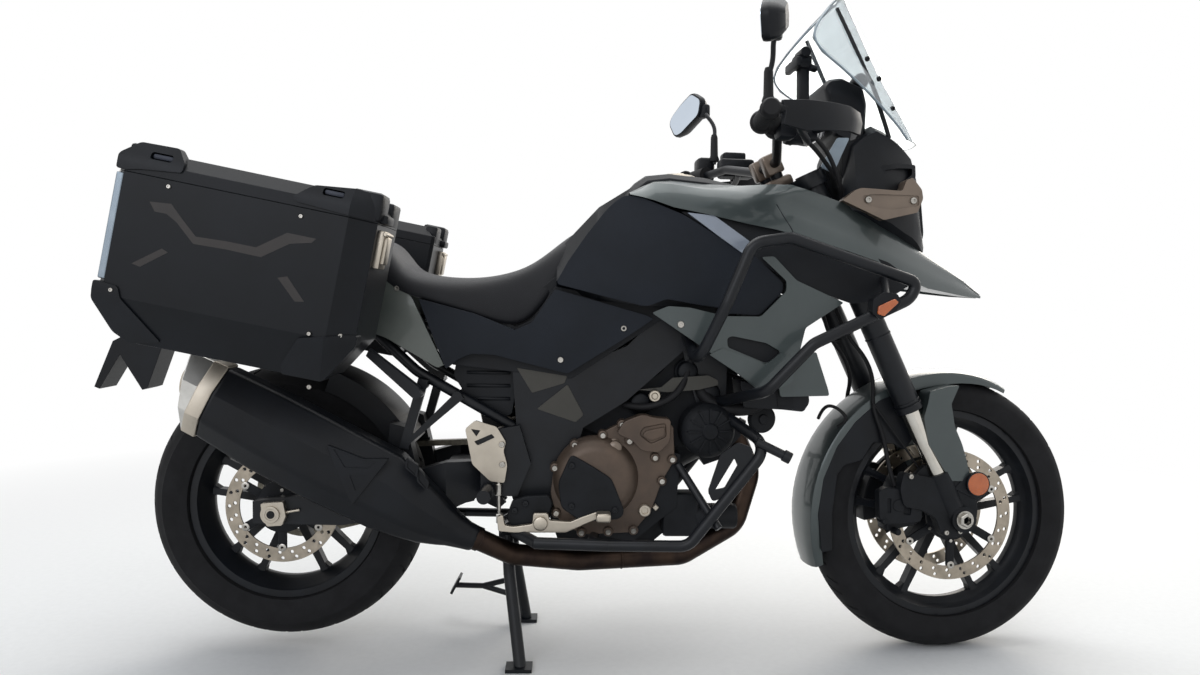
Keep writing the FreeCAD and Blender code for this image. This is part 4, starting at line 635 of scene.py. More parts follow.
def cowl_rings(skin=5):
    """Sections of the right cowl: two bulging bands outside and a plain skin inside."""
    rings = []
    for x, top, crease, low in COWL:
        outer = [top]
        for start, end, bulge in ((top, crease, 3), (crease, low, 4)):
            for share in (0.35, 0.7, 1.0):
                swell = bulge * 4 * share * (1 - share) if share < 1 else 0
                y = start[0] + (end[0] - start[0]) * share + swell
                outer.append((y, start[1] + (end[1] - start[1]) * share + swell * 0.3))
        thin = min(skin, top[0] - 2)
        inner = [(max(y - thin, 0.8), z - (skin if index < 3 else 0))
                 for index, (y, z) in enumerate(outer)]
        rings.append([at(x, -y, z) for y, z in outer + inner[::-1]])
    return rings


cowl = skin_over(cowl_rings())
outer_skin = BVHTree.FromBMesh(cowl)
seam = [(x, outer_skin.ray_cast(at(x, -600, z), Vector(LEFT))[0].y * 1000 + 0.5, z)
        for x, z in ((387, 1052), (395, 1034), (407, 1013), (417, 997), (420, 988))]
make("cowl_sides", cowl, "paint_grey_green", both=True, stands_for=["cowls"], sharp=24, bevel=1.2)
hose("cowl_seams", seam, 1.4, "black_plastic", both=True)


def steering_room():
    """The round room that the fork and its clamps need as they turn."""
    radius, low, high = 157, 460, 902
    return turned([(0, low), (radius, low), (radius, high), (0, high)],
                  facing(STEER_FOOT, STEER_UP), 72)


BEAK = [(548, 1052), (612, 1026), (686, 990), (750, 953), (832, 913), (880, 888), (924, 860)]
beak_rings = []
for (x, top_z), (_, top, _, low) in zip(BEAK, COWL[9:]):
    beak_rings.append([at(x, y, z) for y, z in (
        (-top[0] - 1, top_z), (-top[0] * 0.55, top_z + 5), (0, top_z + 7),
        (top[0] * 0.55, top_z + 5), (top[0] + 1, top_z), (max(low[0] - 16, 3), low[1] + 5),
        (0, low[1] + 1), (-max(low[0] - 16, 3), low[1] + 5))])
make("beak_centre", carve(skin_over(beak_rings), steering_room()), "paint_grey_green",
    stands_for=["beak"], bevel=2)

CENTRE_COVER = [  # x, half width, height of the edge and of the middle
    (-32, 56, 976, 986), (-8, 78, 1001, 1014), (38, 100, 1046, 1066), (83, 114, 1090, 1113),
    (108, 118, 1109, 1130), (158, 119, 1115, 1135), (240, 117, 1107, 1127), (318, 108, 1095, 1109),
    (346, 96, 1082, 1092)]
cover_rings = []
for x, half, edge_z, middle_z in CENTRE_COVER:
    top = [(-half, edge_z), (-half * 0.86, edge_z * 0.35 + middle_z * 0.65),
           (-half * 0.5, middle_z - 2), (0, middle_z)]
    top += [(-y, z) for y, z in top[-2::-1]]
    under = [(half - 4, edge_z - 40), (-half + 4, edge_z - 40)]
    cover_rings.append([at(x, y, z) for y, z in top + under])
make("tank_centre_cover", skin_over(cover_rings), bevel=3, sharp=50)

place = facing(at(196, 0, 1129), (0.08, 0, 1))
make("fuel_cap", joined(
    turned([(0, 9), (34, 9), (38, 7), (40, 4), (44, 3), (52, 3), (54, 1), (54, -6), (0, -6)],
        place, 56),
    turned([(0, 12), (9, 12), (11, 10), (11, 8), (0, 8)],
        place @ Matrix.Translation(at(0, 0, 14)))),
    "satin_plate", sharp=28, bevel=0.6)
around_cap = [math.tau * count / 6 for count in range(6)]
bolts("fuel_cap_bolts", [
    (196 + 47.5 * math.cos(turn), 47.5 * math.sin(turn), 1132 - 3.8 * math.cos(turn))
    for turn in around_cap], 3.4, direction=(0.08, 0, 1), both=False)

KNEE = [(56, 1069), (85, 1066), (184, 1026), (321, 941), (295, 880), (276, 823), (212, 831),
        (146, 843), (124, 833), (102, 825), (14, 846), (-97, 874), (-70, 923), (-30, 981),
        (13, 1036), (36, 1058)]


def knee_reach(x, z):
    """The knee panel bulges at its middle, leans in at its top and tapers to the seat."""
    swell = 203 - 0.00030 * (x - 170) ** 2
    lean = 0.0011 * max(z - 960, 0) ** 2
    tuck = 0.0016 * max(880 - z, 0) ** 2
    return swell - lean * 0.8 - tuck


make("knee_panels", panel(KNEE, knee_reach, 124, corner=10, step=22), "tank_black", both=True,
    bevel=4)

FORE_PANEL = [(280, 812), (352, 808), (403, 860), (404, 880), (351, 930), (332, 944), (322, 934),
              (298, 880)]
make("tank_fore_panels", panel(FORE_PANEL, level(197), 188, corner=8), "tank_black", both=True,
    bevel=2.5)
GAP_PANEL = [(176, 1034), (252, 1034), (400, 1004), (520, 970), (640, 928), (700, 886), (640, 846),
             (560, 836), (416, 884), (338, 936), (258, 984)]
make("inner_side_panels", panel(GAP_PANEL, level(192), 184, corner=4), both=True, bevel=2)
INSERT = [(189, 1031), (248, 1025), (338, 962), (320, 938), (259, 980)]
make("silver_inserts", panel(INSERT, crowned(260, 985, 80, 50, 207, 3), 190, corner=2, step=18),
    "silver_lacquer", both=True, bevel=2)

SHROUD = [(114, 812), (150, 827), (197, 824), (275, 806), (353, 806), (408, 862), (408, 884),
          (352, 936), (380, 938), (430, 886), (536, 838), (452, 782), (424, 660), (363, 635),
          (252, 720)]
SHROUD_OPENING = [(279, 758), (290, 763), (366, 748), (397, 730), (389, 711), (365, 704),
                  (335, 716), (281, 738)]
SHROUD_LIP = [(240, 722), (269, 736), (334, 714), (364, 700), (398, 728), (424, 716), (390, 658),
              (364, 642)]
LOWER_WING = [(440, 700), (483, 729), (512, 644), (515, 630), (405, 627), (400, 660)]
shroud = carve(panel(SHROUD, crowned(330, 790, 230, 160, 213, 7), 203, corner=5, step=24),
               slab(SHROUD_OPENING, 190, 225, 5))
shroud = joined(shroud, panel(SHROUD_LIP, crowned(330, 690, 150, 60, 217, 3), 206, 4, 18),
                slab(LOWER_WING, 180, 187, 5))
make("shroud_panels", shroud, "paint_grey_green", both=True, bevel=2.5, stands_for=["shrouds"])
# Dark sheet behind each shroud opening: painted shade for the dark opening
make("shroud_opening_shade", slab(SHROUD_OPENING, 192, 200), both=True)
bolts("shroud_bolts", [(177, -209.5, 787)], 8)

SIDE_COVER = [(-400, 838), (-277, 806), (-187, 770), (-150, 786), (-98, 862), (104, 806),
              (122, 798), (55, 752), (-69, 674), (-181, 702), (-232, 715), (-283, 717), (-311, 705),
              (-339, 682)]
make("side_cover_panels", panel(SIDE_COVER, crowned(-120, 760, 300, 100, 172, 8), 142, corner=5,
    step=24), "tank_black", both=True, bevel=3, stands_for=["side_covers"])
bolts("side_cover_bolts", [(55, -168.5, 776), (-85, -169.5, 705)], 7)
bolts("tail_cover_bolts", [(-449, -155, 860)], 6)

TAIL_COVER = [(-484, 893), (-456, 888), (-415, 838), (-345, 690), (-360, 684), (-474, 750),
              (-800, 872), (-782, 912), (-560, 892)]


def tail_reach(x, z):
    """Two facets that meet on a slanting line."""
    across = (z - 812) + 0.55 * (x + 420)
    return 158 - 0.10 * abs(across) * (1 if across > 0 else 0.35)


make("tail_cover_panels", panel(TAIL_COVER, tail_reach, 138, corner=4, step=14), "paint_pale",
    both=True, bevel=2, stands_for=["tail_covers"])


# Seat

SEAT = [  # x, top, lower edge, half width of the top and at the lower edge
    (-28, 1000, 984, 30, 44), (-44, 1001, 950, 52, 76), (-66, 990, 906, 70, 104),
    (-100, 962, 860, 86, 126), (-140, 930, 804, 98, 138), (-180, 908, 774, 108, 146),
    (-235, 893, 784, 120, 156), (-290, 887, 804, 130, 162), (-350, 889, 822, 135, 164),
    (-410, 899, 840, 138, 164), (-440, 914, 850, 138, 163), (-466, 952, 864, 134, 159),
    (-486, 974, 876, 130, 157), (-530, 984, 886, 129, 154), (-600, 985, 896, 126, 149),
    (-680, 981, 905, 118, 140), (-735, 974, 911, 108, 128), (-758, 958, 918, 96, 116)]
seat_rings = []
for x, top, low, half_top, half_low in SEAT:
    middle = (top + low) / 2
    half = [(0, top - 3), (half_top * 0.5, top), (half_top * 0.86, top - 5),
            (half_top + 6, top - 15), ((half_top + half_low) / 2 + 7, middle), (half_low, low + 3),
            (half_low - 16, low), (half_low * 0.4, low + 6)]
    ring = half + [(0, low + 8)] + [(-y, z) for y, z in half[:0:-1]]
    seat_rings.append([at(x, y, z) for y, z in ring])
seat = make("seat_cushion", skin_over(seat_rings), "seat_vinyl", soften=2, stands_for=["seat"])


# Fairing, screen, lamps and trims

FAIRING = [  # x, half width, lower and upper height
    (552, 146, 1034, 1096), (577, 158, 1024, 1208), (600, 160, 1014, 1232), (630, 156, 1000, 1248),
    (660, 148, 990, 1236), (700, 126, 970, 1212), (724, 110, 962, 1190), (742, 96, 955, 1140),
    (758, 76, 950, 1060), (772, 52, 954, 1000)]
fairing_rings = []
for x, half, low, high in FAIRING:
    tall = high - low
    side = [(half * 0.5, high), (half * 0.78, high - tall * 0.08), (half * 0.9, low + tall * 0.6),
            (half, low + tall * 0.34), (half * 0.96, low + tall * 0.12), (half * 0.7, low)]
    ring = [(0, high + 2)] + side + [(0, low)] + [(-y, z) for y, z in side[::-1]]
    fairing_rings.append([at(x, y, z) for y, z in ring])
LAMP_FACE = (Matrix.Translation(at(757, 0, 1044)) @ Matrix.Rotation(math.radians(-7), 4, "Y")
             @ Matrix.Rotation(math.radians(-90), 4, "Z"))
lamp_room = moved(slab([(-44, 82), (44, 82), (64, 40), (60, -44), (38, -68), (-38, -68), (-60, -44),
                        (-64, 40)], -60, 44, 6), LAMP_FACE)
make("nose_fairing", carve(carve(skin_over(fairing_rings), steering_room()), lamp_room), bevel=3,
    stands_for=["fairing"], sharp=40)

TRIM = [(540, 1066), (570, 1090), (584, 1094), (674, 1088), (684, 1112), (698, 1119), (719, 1092),
        (722, 1072), (710, 1041), (634, 1023)]
CHANNEL = [(584, 1076), (609, 1080), (685, 1079), (712, 1078), (713, 1056), (654, 1046),
           (609, 1052), (586, 1061)]
CHANNEL_ISLAND = [(606, 1076), (688, 1074), (690, 1060), (654, 1053), (611, 1058)]
trim_reach = crowned(630, 1060, 120, 60, 174, 10)
trim_bm = carve(panel(TRIM, trim_reach, 106, corner=4, step=20), slab(CHANNEL, 168, 190, 5))
trim_bm = carve(joined(trim_bm, slab(CHANNEL_ISLAND, 160, 171.5, 3)), steering_room())
make("bronze_trims", trim_bm, "bronze_trim", both=True, bevel=1.5, stands_for=["fairing_trims"])
bolts("trim_bolts", [(598, -168, 1068), (700, -168, 1067)], 8)

POCKET = [(634, 1148), (680, 1156), (728, 1156), (730, 1128), (688, 1098), (640, 1108)]
POCKET_HOLE = [(644, 1138), (680, 1145), (719, 1147), (719, 1133), (685, 1107), (648, 1115)]


def pocket_reach(x, z):
    """The pockets follow the fairing, which narrows towards the nose."""
    return 140 - 0.5 * max(x - 655, 0)


pockets = carve(panel(POCKET, pocket_reach, 84, corner=4, step=14), slab(POCKET_HOLE, 60, 200, 3))
make("fairing_pockets", pockets, both=True, bevel=1.5)
# Small clear pane painted pale: a painted reflection
make("clear_pane", slab([(500, 1145), (537, 1211), (565, 1211), (548, 1173), (530, 1130)],
    127, 131, 4), "painted_light_acrylic")
UPPER_BOWL = [(-38, 74), (38, 74), (54, 38), (46, 8), (-46, 8), (-54, 38)]
LOWER_BOWL = [(-46, 0), (46, 0), (50, -38), (32, -62), (-32, -62), (-50, -38)]
housing = slab([(-46, 84), (46, 84), (66, 40), (62, -44), (40, -70), (-40, -70), (-62, -44),
                (-66, 40)], -6, 50, 8)
cuts = joined(slab(UPPER_BOWL, -30, 8, 6), slab(LOWER_BOWL, -30, 8, 6))
make("headlight_bezel", carve(housing, cuts), place=LAMP_FACE, bevel=2, stands_for=["headlight"])
bowls = joined(slab(UPPER_BOWL, 7, 12, 6), slab(LOWER_BOWL, 7, 12, 6))
make("headlight_bowls", bowls, "display_glass", place=LAMP_FACE)
make("headlight_glasses", joined(
    *[boss([(0, 12), (11, 10.5), (18.7, 6), (22, 0), (0, 0)], (0, -7, z), LEFT, 40)
      for z in (40, -31)],
    *[block((side * 40 - 3, -7, 24), (side * 40 + 3, -1, 56), 1.5) for side in (-1, 1)],
    *[block((side * 38 - 3, -7, -46), (side * 38 + 3, -1, -14), 1.5) for side in (-1, 1)]),
    "mirror_glass", place=LAMP_FACE, sharp=30)
make("headlight_rims", joined(
    *[boss([(22.5, 0), (27, 0), (26, 6), (23, 7), (22.5, 5)], (0, -7, z), LEFT, 40)
      for z in (40, -31)]),
    "lamp_glass", place=LAMP_FACE, sharp=30)

# Windscreen rows: height, middle, edge, half width at that height
SCREEN = [(1212, 760, 709, 108), (1240, 746, 678, 128), (1275, 727, 634, 150),
          (1310, 708, 588, 170), (1350, 687, 532, 188), (1385, 668, 482, 197),
          (1415, 652, 462, 196), (1445, 636, 470, 184), (1475, 620, 490, 164),
          (1505, 604, 514, 138), (1532, 590, 538, 108), (1550, 581, 556, 78), (1559, 577, 570, 44)]
screen_rings = []
for z, middle_x, edge_x, half in SCREEN:
    outer = []
    for count in range(-8, 9):
        share = count / 8
        outer.append((middle_x - (middle_x - edge_x) * abs(share) ** 2.1, share * half))
    inner = [(x - 4.5, y * 0.985) for x, y in outer[::-1]]
    screen_rings.append([at(x, y, z) for x, y in outer + inner])
make("screen_sheet", skin_over(screen_rings), "clear_screen", bevel=1.2, stands_for=["windscreen"],
    sharp=50)

SCREEN_EDGE = [(705, 108, 1216), (676, 128, 1242), (632, 150, 1277), (586, 170, 1312),
               (530, 188, 1352), (480, 196, 1387), (461, 195, 1415), (469, 183, 1444),
               (489, 163, 1473), (513, 137, 1502), (537, 107, 1528), (555, 77, 1545),
               (568, 44, 1554), (574, 0, 1557)]
right_edge = [(x, -y, z) for x, y, z in SCREEN_EDGE]
# The screen's rim is a pale tube: a painted highlight
hose("screen_edge", right_edge + SCREEN_EDGE[-2::-1], 2.4, "painted_light_acrylic")
hose("screen_stays", [(530, -128, 1500), (574, -134, 1410), (618, -132, 1316), (645, -122, 1256),
    (663, -110, 1216)], 5, "black_frame", both=True)
bolts("screen_bolts", [(600, -132, 1388), (628, -132, 1344), (664, -122, 1280)], 6, "black_plastic",
    direction=(0.45, -0.9, 0))


# Instruments, mirrors and hand controls

HOOD = [(514, 1336), (525, 1351), (556, 1356), (606, 1334), (615, 1298), (613, 1236), (600, 1104),
        (556, 1104), (552, 1170), (567, 1211), (538, 1222), (522, 1300)]
hood_rings = []
for y, shrink in ((-104, 0.8), (-96, 0.95), (-84, 1), (84, 1), (96, 0.95), (104, 0.8)):
    hood_rings.append([at(570 + (x - 570) * shrink, y, 1230 + (z - 1230) * shrink)
                       for x, z in rounded(HOOD, 6)])
make("instrument_hood", carve(skin_over(hood_rings), steering_room()), bevel=2,
    stands_for=["dashboard"], sharp=40)
make("dash_knob", joined(
    boss([(0, 0), (16, 0), (18, 3), (18, 26), (13, 34), (0, 36)], (606, -44, 1352), steps=32),
    rod((580, -60, 1338), (604, -60, 1350), 6)))
make("display_glass", block((-3, -72, -46), (3, 72, 46), 2), "display_glass",
    place=Matrix.Translation(at(529, 0, 1268)) @ Matrix.Rotation(math.radians(11), 4, "Y"))

MIRROR = [(0, 30), (43, 57), (90, 36), (138, 6), (150, -14), (123, -57), (96, -55), (10, -13)]


def mirror_ring(depth, wide, high, corner):
    """Outline of a mirror, shrunk about its middle, at a depth behind its glass."""
    return [at(76 + (x - 76) * wide, depth, (z + 1) * high - 1) for x, z in rounded(MIRROR, corner)]


MIRROR_SWEEP = math.radians(25)
for name, side, inner_x, middle_z in (("right", -1, 298, 1370), ("left", 1, 331, 1384)):
    outwards = Vector((-math.sin(MIRROR_SWEEP), math.cos(MIRROR_SWEEP) * side, 0))
    backwards = Vector((-math.cos(MIRROR_SWEEP), -math.sin(MIRROR_SWEEP) * side, 0))
    place = Matrix.Translation(at(inner_x, 335 * side, middle_z)) @ Matrix(
        (outwards, backwards, Vector((0, 0, 1)))).transposed().to_4x4()
    case_rings = [mirror_ring(depth, share, share, 12) for depth, share in (
        (1, 0.97), (-4, 1), (-14, 1), (-30, 0.86), (-42, 0.56))]
    make(f"mirror_case_{name}", joined(
        skin_over(case_rings),
        block((-8, -26, -22), (26, -4, 16), 7)),
        body="steering", place=place, sharp=40, bevel=1, stands_for=["mirrors"] if side < 0 else ())
    glass_rings = [mirror_ring(depth, 0.92, 0.9, 11) for depth in (0, 2.2)]
    make(f"mirror_glass_{name}", skin_over(glass_rings), "mirror_glass", "steering", place)
    foot = inner_x + (26 if side > 0 else 10)
    hose(f"mirror_stalk_{name}", [(foot, 300 * side, 1225), (foot, 300 * side, 1290),
        (foot + 6, 312 * side, middle_z - 52), (inner_x + 8, 334 * side, middle_z - 12),
        (inner_x + 12, 350 * side, middle_z - 2)], 5.5, "black_frame", "steering")
    make(f"mirror_sleeve_{name}", boss([(0, 0), (13, 0), (14, 6), (10.5, 16), (9.5, 66), (7, 74),
        (0, 74)], (foot, 300 * side, 1232), (0, 0, 1)), "rubber", "steering")

guard_rings = []
for x, y, low, high in ((284, -464, 1150, 1196), (330, -461, 1140, 1199), (384, -447, 1146, 1200),
                        (434, -420, 1152, 1201), (474, -376, 1156, 1201), (492, -326, 1160, 1199),
                        (496, -290, 1164, 1196)):
    guard_rings.append([at(x, y, low), at(x + 3, y - 3, (low + high) / 2), at(x, y, high),
                        at(x - 5, y + 5, high), at(x - 3, y + 3, (low + high) / 2),
                        at(x - 5, y + 5, low)])
make("hand_guard_shells", joined(
    skin_over(guard_rings),
    rod((246, -452, 1180), (292, -458, 1180), 9),
    rod((440, -396, 1180), (398, -262, 1180), 7)),
    body="steering", both=True, bevel=1.5, stands_for=["hand_guards"], sharp=50)
hose("hand_levers", [(396, -205, 1180), (408, -262, 1160), (372, -350, 1148), (334, -420, 1150),
    (324, -436, 1156)], 7.5, "black_frame", "steering", both=True)
make("brake_master", joined(
    block((340, -248, 1186), (404, -206, 1214), 7),
    block((330, -310, 1196), (356, -214, 1236), 8),
    boss([(0, 0), (26, 0), (29, 6), (29, 26), (26, 32), (0, 34)], (368, -262, 1212),
        (0.1, 0, 1), 32),
    block((312, -362, 1150), (350, -316, 1216), 9),
    block((356, -300, 1160), (418, -240, 1190), 9)),
    body="steering")
make("clutch_master", joined(
    block((352, 214, 1176), (446, 262, 1226), 9),
    block((376, 268, 1220), (438, 314, 1254), 6),
    block((386, 270, 1202), (436, 316, 1226), 8),
    block((312, 296, 1196), (360, 352, 1244), 10)),
    body="steering")
make("grips_ribbed", joined(
    boss([(0, 0), (15, 0), (19, 4), (19, 22), (15, 28), (0, 28)], (262, -444, 1180), (-0.2, -1, 0)),
    boss([(0, 0), (21, 0), (24, 3), (24, 9), (21, 12), (0, 12)], (286, -322, 1186), (-0.2, -1, 0)),
    *[boss([(0, 0), (18.2, 0), (18.8, 1), (18.8, 2.6), (18.2, 3.6), (0, 3.6)],
        (264.5 + 0.17 * count * 5, -440 + count * 5, 1180.3 + count * 0.2), (0.17, 1, 0.04), 20)
      for count in range(22)]),
    "rubber", "steering", both=True)
make("bar_clamps", joined(
    *[block((-22, y - 17, -30), (22, y + 17, 20), 6) for y in (-38, 38)],
    block((-34, -58, -66), (30, 58, -40), 8)),
    "bronze_trim", "steering",
    Matrix.Translation(at(402, 0, 1164)) @ Matrix.Rotation(-RAKE, 4, "Y"))
make("phone_holder", joined(
    rod((420, -104, 1196), (450, -112, 1240), 9),
    rod((450, -112, 1232), (452, -114, 1388), 8),
    block((440, -124, 1288), (466, -100, 1392), 6),
    block((430, -130, 1364), (470, -94, 1396), 7),
    rod((452, -136, 1400), (452, -90, 1400), 12),
    rod((462, -130, 1366), (480, -118, 1366), 8),
    block((424, -150, 1362), (438, -70, 1384), 4)),
    body="steering")
for name, points in (
        ("throttle_cables", [(396, -215, 1196), (440, -185, 1186), (506, -150, 1130),
                             (540, -138, 1088), (556, -130, 1050)]),
        ("brake_line", [(404, -240, 1204), (470, -200, 1176), (520, -160, 1110),
                        (548, -120, 1060), (560, -104, 1030)])):
    hose(name, points, 5, place=STEERED, both=True, turns=(at(556, 0, 1040), at(420, 0, 1200)))


# Front fender

def fender():
    """Long fender that hugs the tyre: an arched section swept about the wheel."""
    start, end, steps = 62, 200, 30
    half = 69
    section = [(half, 308), (half, 330), (half - 4, 338), (half - 22, 343.5), (half - 46, 345.5),
               (0, 346)]
    outer = section + [(-y, radius) for y, radius in section[-2::-1]]
    inner = [(y * 0.95, radius - 3.5 if abs(y) < half else radius) for y, radius in outer[::-1]]
    ring = outer + inner
    rings = []
    for count in range(steps + 1):
        share = count / steps
        angle = math.radians(start + (end - start) * share)
        narrow = 1 - 0.42 * max(1 - share * 5, 0) ** 2 - 0.22 * max((share - 0.8) * 5, 0) ** 2
        skirt = 0.25 + 0.75 * min(share * 4, 1) * min((1 - share) * 5 + 0.4, 1)
        spots = []
        for y, radius in ring:
            if radius < 335:
                radius = 335 - (335 - radius) * skirt
            radius += 14 * share - 1
            spots.append(FRONT_AXLE + Vector((
                math.cos(angle) * radius, y * narrow, math.sin(angle) * radius)) / 1000)
        rings.append(spots)
    return skin_over(rings)


make("fender_shell", fender(), "paint_grey_green", "steering", bevel=1.2,
    stands_for=["front_fender"], sharp=40)
CHEEK = [(662, 604), (602, 553), (557, 495), (524, 420), (511, 338), (520, 248), (546, 252),
         (546, 339), (558, 430), (576, 452), (617, 462), (647, 505), (698, 500), (724, 485),
         (752, 519), (731, 585), (706, 620)]
BRACE = [(761, 628), (799, 637), (835, 642), (812, 599), (820, 546), (840, 503), (868, 417),
         (812, 419), (757, 504), (745, 566), (755, 600)]
make("fender_cheeks", slab(CHEEK, 66, 71, 5), body="steering", both=True, bevel=2)
make("fender_braces", panel(BRACE, crowned(795, 530, 60, 110, 129, 9), 74, corner=5, step=22),
    "paint_grey_green", "steering", both=True, bevel=3)


# Fork, front brakes and axle

make("fork_inner_tubes", turned([(0, 0), (22, 0), (22, 172), (0, 172)],
    facing(on_fork(116, LEG_AHEAD, -LEG_SIDE), STEER_UP), 40), "chrome", "steering", both=True)
make("fork_seals", joined(
    *[turned([(22, 0), (radius - 1, 0), (radius, 1), (radius, high - 1), (radius - 1, high),
        (22, high)], facing(on_fork(along, LEG_AHEAD, -LEG_SIDE), STEER_UP), 40)
      for along, radius, high in ((282, 31.5, 16), (300, 30.4, 6), (470, 30.4, 5))]),
    "black_frame", "steering", both=True)
FOOT = [(700, 440), (778, 424), (850, 417), (876, 388), (884, 349), (878, 312), (850, 295),
        (820, 284), (794, 290), (780, 330), (748, 350), (700, 360), (690, 400)]
CALIPER = [(642, 396), (660, 404), (744, 394), (750, 380), (749, 330), (742, 322), (664, 318),
           (644, 332)]
feet = joined(slab(FOOT, 89, 119, 9),
              slab([(822, 400), (860, 436), (904, 432), (910, 396), (880, 372)], 108, 122, 6))
make("fork_feet", feet, "engine_black", "steering", both=True, bevel=4)
caliper_cuts = joined(slab([(703, 342), (708, 382), (727, 382), (720, 339)], 104, 130, 3),
                      slab([(664, 345), (664, 378), (672, 378), (672, 345)], 106, 130, 2))
make("caliper_shells", carve(slab(CALIPER, 86, 111, 9), caliper_cuts), "engine_black", "steering",
    both=True, bevel=2)
make("caliper_pistons", joined(
    *[boss([(0, 0), (radius, 0), (radius, 26), (radius - 2, 29), (0, 29)], (x, -84, z))
      for x, z, radius in ((690, 362, 15), (738, 362, 9), (656, 326, 7), (738, 402, 7),
                           (690, 300, 8))]),
    "engine_black", "steering", both=True)
bolts("fork_bolts", [(838, -119, 300), (804, -119, 298), (716, -119, 430), (700, -111, 410)], 6,
    body="steering")
make("hose_tabs", slab([(733, 493), (766, 498), (772, 468), (746, 474)], 73, 76, 3), "satin_plate",
    "steering", both=True)
make("front_axle_nuts", joined(
    boss([(9, 0), (20, 0), (21, 2), (21, 5), (9, 5)], (844, -128, 328.8), steps=32),
    boss([(10.5, 4), (16, 4), (17, 6), (17, 13), (15, 15), (10.5, 15)], (844, -128, 328.8),
        steps=6)),
    "plated_bolt", "steering", both=True, sharp=30)
make("reflector_rims", boss([(0, 0), (28.5, 0), (28.5, 9), (26.5, 10), (26, 8), (0, 8)],
    (879, -120, 411), steps=40), body="steering", both=True)
make("reflector_lenses", boss([(0, 7), (26, 7), (26, 9.4), (22, 10.6), (0, 11)], (879, -120, 411),
    steps=40), "amber_lens", "steering", both=True)
hose("front_brake_hoses", [(560, -40, 830), (585, -56, 756), (630, -62, 706), (650, -64, 650),
    (640, -76, 590), (668, -80, 520), (676, -86, 450), (690, -92, 405)], 5, body="steering",
    both=True)
hose("wheel_sensor_wire", [(640, -78, 600), (700, -82, 520), (738, -80, 470), (770, -84, 420),
    (800, -90, 360), (820, -92, 330)], 2.6, body="steering")
hose("fender_hose_clip", [(518, -50, 560), (524, -66, 592), (556, -68, 590), (590, -66, 556),
    (566, -50, 540)], 4, body="steering")


def disc_carrier(carrier, buttons, body, radius, near, far, both=False):
    """Black spider that carries a brake disc, and the bright bobbins where they meet."""
    arms = 6
    turns = [Matrix.Rotation(math.tau * count / arms, 4, "Y") for count in range(arms)]
    hub = turned([(27.5, near), (61, near), (61, far), (27.5, far)], steps=64)
    spider = [block((-10, near, 56), (10, far, radius + 2), 2, turn) for turn in turns]
    rings = []
    for profile, out, steps in (
            ([(3.5, 0), (9, 0), (9, 3), (7.5, 4), (3.5, 4)], radius, 18),
            ([(0, 0), (4, 0), (4, 3.4), (0, 3.4)], radius - 58, 12)):
        rings += [turned(profile, turn @ Matrix.Translation(at(0, far - 1, out)), steps)
                  for turn in turns]
    make(carrier, joined(hub, *spider), "engine_black", body, SIDE_FLIP, both=both)
    make(buttons, joined(*rings), "plated_bolt", body, SIDE_FLIP, both=both)


disc_carrier("front_disc_carriers", "front_disc_buttons", "front_wheel", 120, 59.4, 67, both=True)
disc_carrier("rear_disc_carrier", "rear_disc_buttons", "rear_wheel", 96, 84.2, 90.5)

AXLE_BLOCK = [(-747, 380), (-698, 384), (-692, 352), (-701, 331), (-733, 329), (-744, 352)]
axle_side = facing(REAR_AXLE, RIGHT)
make("axle_blocks", joined(
    slab(AXLE_BLOCK, 152.2, 168.6, 3),
    turned([(12.4, 168), (19, 168), (19, 172), (18, 173), (12.4, 173)], axle_side, 36),
    rod((-700, -158, 358), (-664, -158, 364), 3)),
    "satin_plate", both=True, bevel=1.5)
# Dark discs on the axle's ends: painted shade inside the hollow bore
make("axle_bore_shades", turned([(0, 171.8), (9, 171.8), (9, 172.4), (0, 172.4)], axle_side, 30),
    "rubber", both=True)


def spoke_flares(bead):
    """Webs that widen the outer end of each spoke where it runs into the rim."""
    pairs = 5
    flare = [(16, bead - 23), (25, bead - 30), (30, bead - 48), (45, bead - 48), (53, bead - 30),
             (64, bead - 23)]
    flares = joined(slab(flare, -11, 11, 2), slab([(-x, z) for x, z in flare[::-1]], -11, 11, 2))
    bmesh.ops.recalc_face_normals(flares, faces=flares.faces)
    wheel = joined(*[moved(flares.copy(), Matrix.Rotation(math.tau * count / pairs, 4, "Y"))
                     for count in range(pairs)])
    flares.free()
    return wheel


make("front_spoke_flares", spoke_flares(FRONT_BEAD), "engine_black", "front_wheel", bevel=2)
make("rear_spoke_flares", spoke_flares(REAR_BEAD), "engine_black", "rear_wheel", bevel=2)


# Engine covers, hoses, brackets and guards

CASE_COVER = [(-98, 462), (-62, 516), (-22, 518), (10, 542), (50, 562), (170, 560), (174, 480),
              (146, 431), (122, 364), (82, 315), (25, 312), (-35, 310), (-88, 344), (-106, 400)]
UPPER_COVER = [(40, 542), (58, 570), (99, 586), (126, 578), (162, 576), (160, 524), (137, 500),
               (96, 504), (76, 527)]
PROTECTOR = [(-59, 498), (-10, 470), (30, 444), (60, 371), (51, 354), (-35, 347), (-81, 379),
             (-88, 434), (-68, 480)]
COVER_BOLTS = [(54, 560), (11, 536), (71, 523), (-52, 514), (-96, 462), (145, 433), (82, 321),
               (25, 318), (-35, 316), (168, 482), (129, 486), (-92, 360)]
make("case_cover", joined(
    slab(CASE_COVER, 138, 160, 10),
    *[boss([(0, 0), (11, 0), (11, 26), (9, 29), (0, 29)], (x, -140, z)) for x, z in COVER_BOLTS]),
    "engine_bronze", bevel=3, stands_for=["engine_covers"])
bolts("case_bolts", [(x, -169, z) for x, z in COVER_BOLTS], 6.5, both=False)
upper = carve(slab(UPPER_COVER, 150, 184, 9),
              slab([(92, 540), (100, 556), (150, 566), (152, 536), (118, 520)], 180, 200, 6))
upper = joined(upper, slab([(98, 538), (106, 549), (148, 558), (148, 538), (118, 527)],
                           170, 186, 5))
make("upper_cover", upper, "engine_bronze", bevel=2.5)
